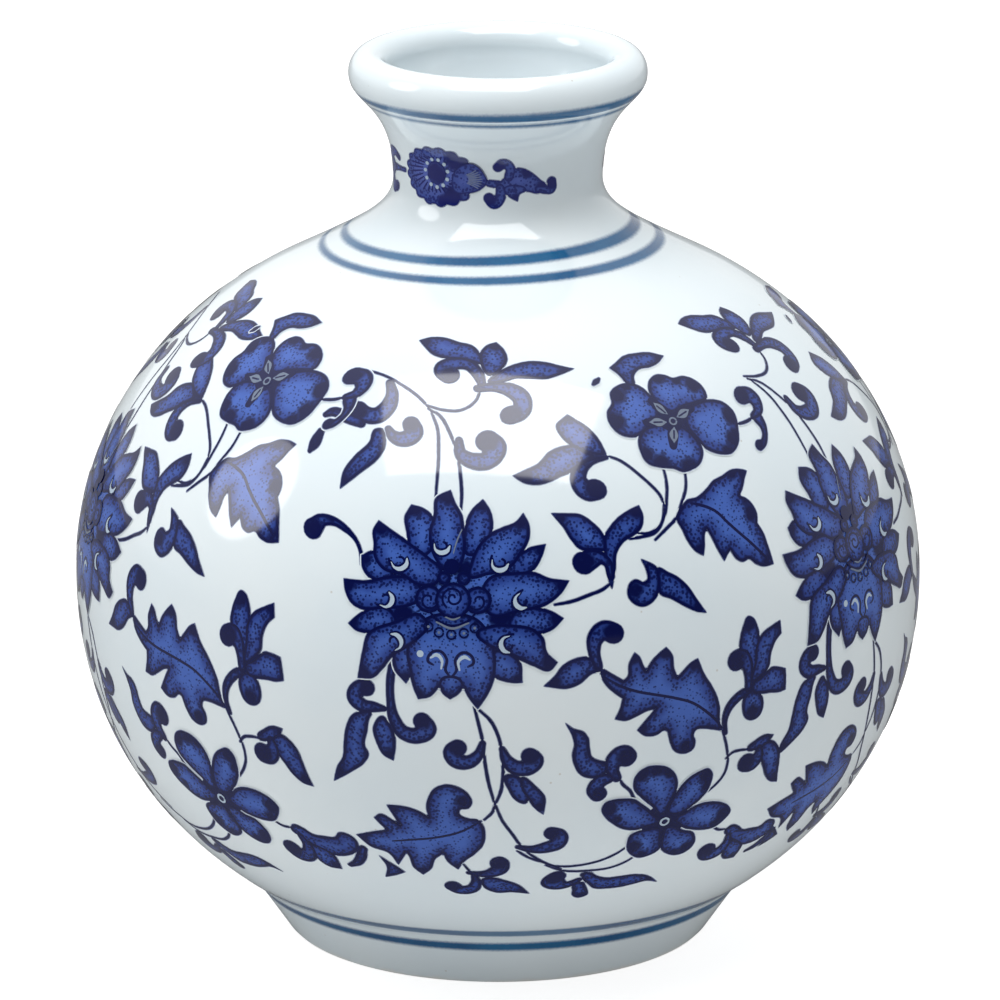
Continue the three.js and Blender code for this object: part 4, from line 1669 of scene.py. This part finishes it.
class NeckSpray:
    """The chrysanthemum on the neck, between two curled sprigs."""

    @staticmethod
    def blossom() -> list[Stroke]:
        """The many-lobed blossom with fanned petals and a ring of beads.

        Returns:
            The strokes, in painting order.
        """
        rays = []
        for turn in np.arange(0, TAU, TAU / 30):
            reach = 5 - 1.5 * math.sin(turn) ** 2 - 0.6
            start = np.array([-5.3 + 1.95 * math.cos(turn), 67.3 + 1.75 * math.sin(turn)])
            end = np.array([-5.3 + reach * math.cos(turn + 0.1), 67.1 + reach * 0.78 * math.sin(turn + 0.1)])
            rays.append(stem(0.2, tuple(start), tuple((start + end) / 2), tuple(end), ink=Ink.DARK))
        beads = []
        for turn in np.arange(0.2, TAU, TAU / 11):
            beads.append(spot(-5.3 + 1.55 * math.cos(turn), 67.3 + 1.75 * math.sin(turn), 0.24, Ink.BARE))
        rim = scallops((-5.2, 66.95), 4.9, 17, 0.5, 0.72)
        rim.pools = [(-2.6, 69.2, 2.2), (-3.2, 64.6, 1.8), (-1.2, 68.4, 1.6), (-4.4, 63.9, 1.2)]
        petal = leaf((-0.6, 68.9), (0.6, 67.7), (0.9, 66.7), (0.2, 65.8), (-1.4, 65.2), (-2.9, 65.2),
                     (-3.3, 66.6), (-2.6, 68.2))
        fan = []
        for turn in np.radians(np.arange(-40, 50, 11)):
            start = (-2.2 + 0.9 * math.cos(turn), 66.9 + 0.7 * math.sin(turn))
            middle = (-1.9 + 1.5 * math.cos(turn), 66.9 + 1.1 * math.sin(turn))
            end = (-1.6 + 2 * math.cos(turn), 66.9 + 1.7 * math.sin(turn))
            fan.append(stem(0.14, start, middle, end, ink=Ink.PALE))
        heart = scallops((-5.3, 67.3), 1.25, 9, 0.15, 1.15)
        heart.pools = [(-5.3, 67.3, 2)]
        return [rim, *rays, petal, *fan, heart, *beads]

    @staticmethod
    def sprig() -> list[Stroke]:
        """The curled sprig at the blossom's right.

        Returns:
            The strokes, in painting order.
        """
        return [
            brush((0.6, 66.6, 0.7), (1.8, 66.4, 0.9), (3.2, 66.2, 1.2), head=0),
            leaf((2.4, 66.2), (3, 67.4), (3.9, 68.3), (5, 68.3), (6.2, 67.6), (7.1, 66.7), (7.9, 65.9),
                 (7.2, 65.1), (5.6, 65.4), (4, 65.4), pools=[(5.6, 67.8, 1.1), (7.3, 65.8, 1.2)]),
            brush((6.8, 65.6, 0.7), (7.8, 65.4, 0.9), (8.6, 65.5, 1.1), (8.6, 66.3, 1.2), head=1.2),
            brush((3.4, 67.2, 1), (3.6, 68.4, 1.1), (2.9, 69, 1.2), (2.2, 68.5, 1.1), head=1.2),
            brush((2.4, 66, 0.9), (2.4, 64.9, 1.2), (1.7, 64.1, 1.2), (1.1, 64.7, 1.2), head=1.2),
            leaf((2.8, 65.8), (3.4, 64.9), (4.4, 64.3, 1.4), (4.6, 65.1), (5.4, 65.6), (4.2, 66.3)),
        ]

    @staticmethod
    def partner() -> list[Stroke]:
        """The sprig at the blossom's left, its hooks the other way round.

        Returns:
            The strokes, in painting order.
        """
        return [
            brush((-10.8, 66.6, 0.5), (-12.4, 66.5, 0.6), (-14, 66.4, 1.1), head=0),
            brush((-14, 66.4, 1), (-15, 67.6, 1.5), (-13.8, 68.4, 1.2), (-12.3, 67.9, 0.9), head=1.2),
            brush((-14, 66.4, 1), (-15.2, 65.2, 1.4), (-14.4, 64, 1.3), (-13.1, 64.2, 1.1), head=1.2),
            leaf((-14.6, 66.5), (-15.6, 67.8), (-17.2, 67.6), (-18.8, 66.4, 1.8), (-17.2, 65.4),
                 (-15.6, 65.3), pools=[(-16, 66.5, 1.2)]),
        ]


# ---- Sub-assemblies ----
@dataclass
class Sections:
    """The five porcelain sections, turned smoothly on the form's outlines."""

    form: TurnedForm
    material: bpy.types.Material
    segments: int = 288
    pitch: float = 0.9
    fine_pitch: float = 0.35
    edge_normal: tuple[float, float] = (0.9, -0.436)

    def build(self) -> list[bpy.types.Object]:
        """Turns all five, each standing for its packed section.

        Returns:
            The pieces, from the foot up.
        """
        made = [self._foot(), self._lower(), self._upper(), self._neck(), self._lip()]
        return made

    def _turned(self, node: str, name: str, runs: list[np.ndarray]) -> bpy.types.Object:
        """Turns one section and puts it in its packed section's place.

        Args:
            node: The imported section.
            name: The piece's name.
            runs: Its section.

        Returns:
            The turned piece.
        """
        piece = turned_object(name, runs, self.material, self.segments)
        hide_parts(node)
        return piece

    def _wall(self, low: float, high: float, pitch: float) -> list[np.ndarray]:
        """A length of wall between two heights, as four runs round its section.

        Args:
            low: The lower height.
            high: The upper height.
            pitch: Spacing of the rows.

        Returns:
            The section's runs.
        """
        form = self.form
        outside = form.outer.rows(form.outer.arc_at(low), form.outer.arc_at(high), pitch)
        inside_arc = [form.inner.arc_at(low), form.inner.arc_at(high)]
        within = form.inner.rows(inside_arc[1], inside_arc[0], pitch)
        within[:, 2:] *= -1.0
        return [
            outside,
            flat_run(outside[-1, :2], within[0, :2], 1.0),
            within,
            flat_run(within[-1, :2], outside[0, :2], -1.0),
        ]

    def _foot(self) -> bpy.types.Object:
        """The foot ring, hollowed under and bevelled at its standing edge.

        Returns:
            The turned piece.
        """
        form = self.form
        low = form.outer.arc_at(form.foot_edge)
        bed = form.outer.arc_at(form.foot_height)
        outside = form.outer.rows(low, bed, self.fine_pitch)
        edge_radius = float(outside[0, 0])
        inner_low = form.foot_base_radius - form.foot_wall
        inner_high = inner_low - form.recess_taper
        across, down = self.edge_normal
        slant = 0.5 / math.hypot(0.5, 0.5)
        bevel_out = np.array(
            [[edge_radius - form.foot_edge, 0, slant, -slant], [edge_radius, form.foot_edge, across, down]]
        )
        recess = np.array(
            [[inner_high, form.foot_height, -1, 0], [inner_low, form.foot_edge, -across, down]], dtype=float
        )
        bevel_in = np.array(
            [[inner_low, form.foot_edge, -across, down], [inner_low + form.foot_edge, 0, -slant, -slant]]
        )
        return self._turned(
            "foot_ring",
            "turned_foot_ring",
            [
                bevel_out,
                outside,
                flat_run(outside[-1, :2], recess[0, :2], 1.0),
                recess,
                bevel_in,
                flat_run(bevel_in[-1, :2], bevel_out[0, :2], -1.0),
            ],
        )

    def _lower(self) -> bpy.types.Object:
        """The lower half of the body, closed by its floor.

        Returns:
            The turned piece.
        """
        form = self.form
        low, high = form.outer.arc_at(form.foot_height), 0.0
        outside = form.outer.rows(low, high, self.pitch)
        within = form.inner.rows(0.0, float(form.inner.arc[0]), self.pitch)
        within[:, 2:] *= -1.0
        return self._turned(
            "lower_body",
            "turned_lower_body",
            [
                flat_run((0.0, form.foot_height), outside[0, :2], -1.0),
                outside,
                flat_run(outside[-1, :2], within[0, :2], 1.0),
                within,
                flat_run(within[-1, :2], (0.0, float(within[-1, 1])), 1.0),
            ],
        )

    def _upper(self) -> bpy.types.Object:
        """The upper half of the body.

        Returns:
            The turned piece.
        """
        return self._turned(
            "upper_body", "turned_upper_body", self._wall(
                self.form.belly_height, self.form.neck_bed, self.pitch,
            )
        )

    def _neck(self) -> bpy.types.Object:
        """The neck, from the shoulder to the lip.

        Returns:
            The turned piece.
        """
        return self._turned(
            "neck", "turned_neck", self._wall(self.form.neck_bed, self.form.lip_bed, self.fine_pitch)
        )

    def _lip(self) -> bpy.types.Object:
        """The rolled lip, round over its top.

        Returns:
            The turned piece.
        """
        form = self.form
        outside = form.outer.rows(form.outer.arc_at(form.lip_bed), float(form.outer.arc[-1]), self.fine_pitch)
        within = form.inner.rows(float(form.inner.arc[-1]), form.inner.arc_at(form.lip_bed), self.fine_pitch)
        within[:, 2:] *= -1.0
        within[0] = outside[-1]
        return self._turned(
            "lip_ring",
            "turned_lip_ring",
            [outside, within, flat_run(within[-1, :2], outside[0, :2], -1.0)],
        )


@dataclass(frozen=True)
class Band:
    """One painted band round the vase."""

    name: str
    rise: float
    width: float
    sway: float
    load: float
    swell: float


@dataclass
class Bands:
    """The blue bands at the shoulder, under the lip and over the foot."""

    form: TurnedForm
    material: bpy.types.Material
    bands: tuple[Band, ...] = (
        Band("outer_shoulder_band", 53.2, 1.75, 0.95, 0.97, 0.15),
        Band("inner_shoulder_band", 56.4, 1.95, 1.15, 1.0, 0.2),
        Band("lip_line", 76.4, 1.7, 0.2, 1.0, 0.2),
        Band("thin_lip_line", 75.0, 1.0, 0.1, 0.95, 0.4),
        Band("upper_foot_band", -40.4, 2.5, 0.05, 0.9, 0.12),
        Band("lower_foot_band", -44.5, 1.8, 0.03, 1.0, 0.1),
    )
    segments: int = 360
    rows: int = 9
    feather: float = 0.32
    lift: float = 0.012
    sway_phase: float = 0.11
    load_phase: float = 0.45
    width_phase: float = 0.6
    width_range: Range = (0.78, 0.22)

    def build(self) -> list[bpy.types.Object]:
        """Paints every band."""
        return [self._band(band) for band in self.bands]

    def _band(self, band: Band) -> bpy.types.Object:
        """Paints one band as a strip that sways a little as it goes round.

        Args:
            band: Its place and weight.

        Returns:
            The strip.
        """
        turn = np.arange(self.segments) * TAU / self.segments
        middle = band.rise + band.sway * np.sin(turn + self.sway_phase)
        weight = band.load * (1.0 - band.swell * (0.5 - 0.5 * np.cos(turn - self.load_phase)))
        mean, change = self.width_range
        half = band.width * (mean + change * np.cos(turn - self.width_phase)) / 2 + self.feather
        across = np.linspace(-1.0, 1.0, self.rows)
        vertices, normals, edge, load = [], [], [], []
        for share in across:
            table = self.form.outer.at(middle + share * half)
            around = np.column_stack([np.sin(turn), -np.cos(turn)])
            normal = np.column_stack([around * table[:, 2:3], table[:, 3]])
            place = np.column_stack([around * table[:, :1], table[:, 1]])
            vertices.append(place + normal * self.lift)
            normals.append(normal)
            edge.append((1.0 - abs(share)) * half - self.feather)
            load.append(weight)
        count = self.segments
        faces = []
        for row in range(self.rows - 1):
            low, high = row * count, (row + 1) * count
            for step in range(count):
                after = (step + 1) % count
                faces.append((low + step, low + after, high + after, high + step))
        values = {"edge": np.concatenate(edge), "load": np.concatenate(load)}
        return mesh_object(
            band.name, np.vstack(vertices), faces, np.vstack(normals), self.material, values
        )


@dataclass
class Decoration:
    """The cobalt transfers: five panels round the ball, and the sprays on the neck."""

    painter: Painter
    neck_painter: Painter
    lotus_azimuths: tuple[float, ...] = (-77.5, -6.4, 57.0, 132.0, 207.0)
    flower_turns: tuple[float, ...] = (8.0, 0.0, 0.0, 0.0, 0.0)
    flower_stretches: tuple[float, ...] = (1.07, 1.0, 1.0, 1.0, 1.0)
    flower_rises: tuple[float, ...] = (1.2, 0.0, 0.0, 0.0, 0.0)
    lotus_rise: float = 9.0
    front_lift: float = 0.05
    flower_gaps: tuple[float, ...] = (33.0, 32.4, 32.4, 33.5, 34.0)
    seamed: tuple[bool, ...] = (False, False, True, False, False)
    neck_azimuths: tuple[float, ...] = (-10.0, 170.0)

    def build(self) -> list[bpy.types.Object]:
        """Paints all the motifs.

        Returns:
            The painted pieces.
        """
        made = []
        for number, azimuth in enumerate(self.lotus_azimuths):
            made.extend(self._lotus_column(number, Spot(azimuth)))
            flowers = Spot(
                azimuth + self.flower_gaps[number],
                self.flower_rises[number],
                self.flower_turns[number],
                self.flower_stretches[number],
            )
            made.extend(self._flower_column(number, flowers))
        for number, azimuth in enumerate(self.neck_azimuths):
            made.extend(self._neck_spray(number, Spot(azimuth)))
        return made

    def _lotus_column(self, number: int, spot_at: Spot) -> list[bpy.types.Object]:
        """The lotus with the scrolls over and under it.

        Args:
            number: Which panel.
            spot_at: Where it lies.

        Returns:
            The painted pieces.
        """
        side = "" if not self.seamed[number] else "_short"
        upper = UpperScroll.near_stems()
        if not self.seamed[number]:
            upper = [*UpperScroll.far_stems(), *upper]
        under = [*UnderScroll.stems(), *UnderScroll.acanthus()]
        low = UnderScroll.low_sprig()
        over = Spot(spot_at.azimuth, self.lotus_rise, lift=self.front_lift)
        paint = self.painter.paint
        return [
            paint(f"upper_scroll_{number}", upper, spot_at, "upper_scroll" + side),
            paint(f"under_scroll_{number}", [*under, *low], spot_at, "under_scroll"),
            paint(f"trefoil_{number}", UnderScroll.trefoil(), spot_at, "trefoil"),
            paint(f"lotus_{number}", Lotus().strokes(), over, "lotus"),
        ]

    def _flower_column(self, number: int, spot_at: Spot) -> list[bpy.types.Object]:
        """The two flowers with the scroll between them.

        Args:
            number: Which panel.
            spot_at: Where it lies.

        Returns:
            The painted pieces.
        """
        scroll = FlowerScroll
        upper = [*scroll.upper_stems(), *scroll.winged_sprig(), *scroll.upper_leaf(), *scroll.small_sprigs()]
        lower = [*scroll.middle_leaf(), *scroll.left_sprig(), *scroll.right_sprigs()]
        low = [*scroll.low_stems(), *scroll.corner_sprig()]
        over = replace(spot_at, lift=self.front_lift)
        paint = self.painter.paint
        return [
            paint(f"upper_flower_scroll_{number}", upper, spot_at, "upper_flower_scroll"),
            paint(f"upper_flower_{number}", UpperFlower().strokes(), over, "upper_flower"),
            paint(f"lower_flower_scroll_{number}", lower, spot_at, "lower_flower_scroll"),
            paint(f"low_scroll_{number}", low, spot_at, "low_scroll"),
            paint(f"lower_flower_{number}", LowerFlower.petals(), over, "lower_flower"),
        ]

    def _neck_spray(self, number: int, spot_at: Spot) -> list[bpy.types.Object]:
        """The blossom and its two sprigs on the neck."""
        strokes = [*NeckSpray.sprig(), *NeckSpray.partner(), *NeckSpray.blossom()]
        return [self.neck_painter.paint(f"neck_spray_{number}", strokes, spot_at, "neck_spray")]


# ---- The room ----
class Face(Enum):
    """The shape of a light's face."""

    SQUARED = "RECTANGLE"
    ROUND = "ELLIPSE"


@dataclass
class Studio:
    """A white table that glows as painted light, a big softbox overhead, a smaller one at the left, and the
    camera.
    """

    table_half: float = 6.0
    # Painted light: the table glows, and has its own colours for the camera, for its reflection in the glaze
    # and for the light it throws on the vase.
    table_colour: Colour = (0.55, 0.55, 0.55, 1.0)
    table_mirrored: Colour = (0.12, 0.12, 0.12, 1.0)
    table_seen: Colour = (0.35, 0.35, 0.35, 1.0)
    table_glow: float = 0.34
    table_seen_glow: float = 0.85
    table_mirrored_dim: float = 0.75
    table_roughness: float = 0.6
    overhead_at: tuple[float, float, float] = (-0.024, -0.173, 0.582)
    overhead_facing: tuple[float, float, float] = (0.04, 0.314, -0.948)
    overhead_size: tuple[float, float] = (0.47, 0.34)
    overhead_power: float = 2.45
    left_at: tuple[float, float, float] = (-0.522, -0.07, 0.346)
    left_aim: tuple[float, float, float] = (0.0, 0.0, 0.05)
    left_size: tuple[float, float] = (0.26, 0.31)
    left_power: float = 0.75
    sky_seen: float = 1.0
    sky_front: float = 0.04
    sky_back: float = 0.75
    sky_top: float = 0.75
    sky_front_to_back: Range = (-0.6, 0.8)
    sky_top_from: float = 0.55
    camera_pitch: float = 16.25
    camera_distance: float = 0.900
    camera_aim: tuple[float, float, float] = (0.000236, 0.0, 0.05128)
    lens: float = 274.85
    sensor: float = 36.0

    def build(self) -> None:
        """Lays the table, hangs the lights, sets the camera and shows plain colours."""
        self._table()
        self._sky()
        over, size = self.overhead_at, self.overhead_size
        self._softbox("overhead_softbox", over, self.overhead_facing, size, self.overhead_power, Face.SQUARED)
        to_vase = tuple(np.array(self.left_aim) - np.array(self.left_at))
        self._softbox("left_softbox", self.left_at, to_vase, self.left_size, self.left_power, Face.ROUND)
        self._camera()
        bpy.context.scene.view_settings.view_transform = "Standard"

    def _table(self) -> None:
        """A pale table that glows as painted light: an even white to the camera, a low glow on the vase,
        dimmer in the glaze.
        """
        half = self.table_half
        mesh = bpy.data.meshes.new("table")
        corners = [(-half, -half, 0.0), (half, -half, 0.0), (half, half, 0.0), (-half, half, 0.0)]
        mesh.from_pydata(corners, [], [(0, 1, 2, 3)])
        paint = Paint("glowing_white_table")
        grain = paint.math("MULTIPLY_ADD", paint.noise(40.0), 0.02, 0.99)
        # Painted light: the table's colour and glow differ by ray. Its glow lights the vase's foot from
        # below, and its reflection in the glaze is painted darker.
        rays = paint.tree.nodes.new("ShaderNodeLightPath")
        seen, mirrored = rays.outputs["Is Camera Ray"], rays.outputs["Is Glossy Ray"]
        tone = paint.mix(seen, paint.mix(mirrored, self.table_colour, self.table_mirrored), self.table_seen)
        glow = paint.math("MULTIPLY_ADD", seen, self.table_seen_glow - self.table_glow, self.table_glow)
        glow = paint.math(
            "MULTIPLY", glow, paint.math("MULTIPLY_ADD", mirrored, -self.table_mirrored_dim, 1.0),
        )
        paint.feed(paint.shader.inputs["Base Color"], paint.mix(grain, (0.5, 0.5, 0.5, 1.0), tone))
        paint.feed(paint.shader.inputs["Emission Strength"], glow)
        paint.shader.inputs["Emission Color"].default_value = (1.0, 1.0, 1.0, 1.0)
        paint.shader.inputs["Roughness"].default_value = self.table_roughness
        mesh.materials.append(paint.material)
        table = bpy.data.objects.new("table", mesh)
        bpy.context.scene.collection.objects.link(table)

    def _sky(self) -> None:
        """White where the camera looks past the vase. As light, it is soft, and dimmer at the front."""
        world = bpy.data.worlds.new("white_room")
        bpy.context.scene.world = world
        world.use_nodes = True
        tree = world.node_tree
        sky = tree.nodes["Background"]
        sky.inputs["Color"].default_value = (1.0, 1.0, 1.0, 1.0)
        way = tree.nodes.new("ShaderNodeSeparateXYZ")
        tree.links.new(tree.nodes.new("ShaderNodeTexCoord").outputs["Generated"], way.inputs["Vector"])
        room = tree.nodes.new("ShaderNodeMapRange")
        room.inputs["From Min"].default_value, room.inputs["From Max"].default_value = self.sky_front_to_back
        room.inputs["To Min"].default_value = self.sky_front
        room.inputs["To Max"].default_value = self.sky_back
        tree.links.new(way.outputs["Y"], room.inputs["Value"])
        top = tree.nodes.new("ShaderNodeMapRange")
        top.inputs["From Min"].default_value = self.sky_top_from
        top.inputs["To Max"].default_value = self.sky_top
        tree.links.new(way.outputs["Z"], top.inputs["Value"])
        light = tree.nodes.new("ShaderNodeMath")
        tree.links.new(room.outputs["Result"], light.inputs[0])
        tree.links.new(top.outputs["Result"], light.inputs[1])
        rays = tree.nodes.new("ShaderNodeLightPath")
        blend = tree.nodes.new("ShaderNodeMapRange")
        blend.inputs["To Max"].default_value = self.sky_seen
        tree.links.new(light.outputs["Value"], blend.inputs["To Min"])
        tree.links.new(rays.outputs["Is Camera Ray"], blend.inputs["Value"])
        tree.links.new(blend.outputs["Result"], sky.inputs["Strength"])

    def _softbox(
        self, name: str, at: Knot, facing: Knot, size: tuple[float, float], power: float, face: Face
    ) -> None:
        """Hangs one flat light.

        Args:
            name: Its name.
            at: Its middle, in metres.
            facing: The way it shines.
            size: Its width and height in metres.
            power: Its power in watts.
            face: The shape of its face.
        """
        light = bpy.data.lights.new(name, "AREA")
        light.shape = face.value
        light.size, light.size_y = size
        light.energy = power
        lamp = bpy.data.objects.new(name, light)
        lamp.location = at
        lamp.rotation_euler = Vector(facing).to_track_quat("-Z", "Y").to_euler()
        bpy.context.scene.collection.objects.link(lamp)

    def _camera(self) -> None:
        """Sets a long lens a little above the vase, looking down at it."""
        pitch = math.radians(self.camera_pitch)
        way = Vector((0.0, -math.cos(pitch), math.sin(pitch)))
        data = bpy.data.cameras.new("camera")
        data.lens = self.lens
        data.sensor_width = self.sensor
        camera = bpy.data.objects.new("camera", data)
        camera.location = Vector(self.camera_aim) + way * self.camera_distance
        camera.rotation_euler = (-way).to_track_quat("-Z", "Y").to_euler()
        bpy.context.scene.collection.objects.link(camera)
        bpy.context.scene.camera = camera


def main() -> None:
    """Builds the vase, its painting and the room."""
    logging.basicConfig(level=logging.INFO, format="%(message)s")
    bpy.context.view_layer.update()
    form = TurnedForm()
    body = Porcelain()
    cobalt = Cobalt().material(body)
    made = Sections(form, body.material()).build()
    made += Bands(form, BandBlue().material(body)).build()
    fine = Cobalt(
        "fine_cobalt_painting", wash=(0.040, 0.070, 0.30, 1.0), wash_light=(0.085, 0.125, 0.45, 1.0),
        line=(0.008, 0.012, 0.125, 1.0), pen_mm=0.14, dot_spacing_mm=0.34,
    ).material(body)
    neck_painter = Painter(form, fine, Cutter(pitch=0.35, stroke_lift=0.0025))
    made += Decoration(Painter(form, cobalt, Cutter()), neck_painter).build()
    for piece in made:
        LOG.info("%s: %d faces", piece.name, len(piece.data.polygons))
    Studio().build()


if __name__ == "__main__":
    main()
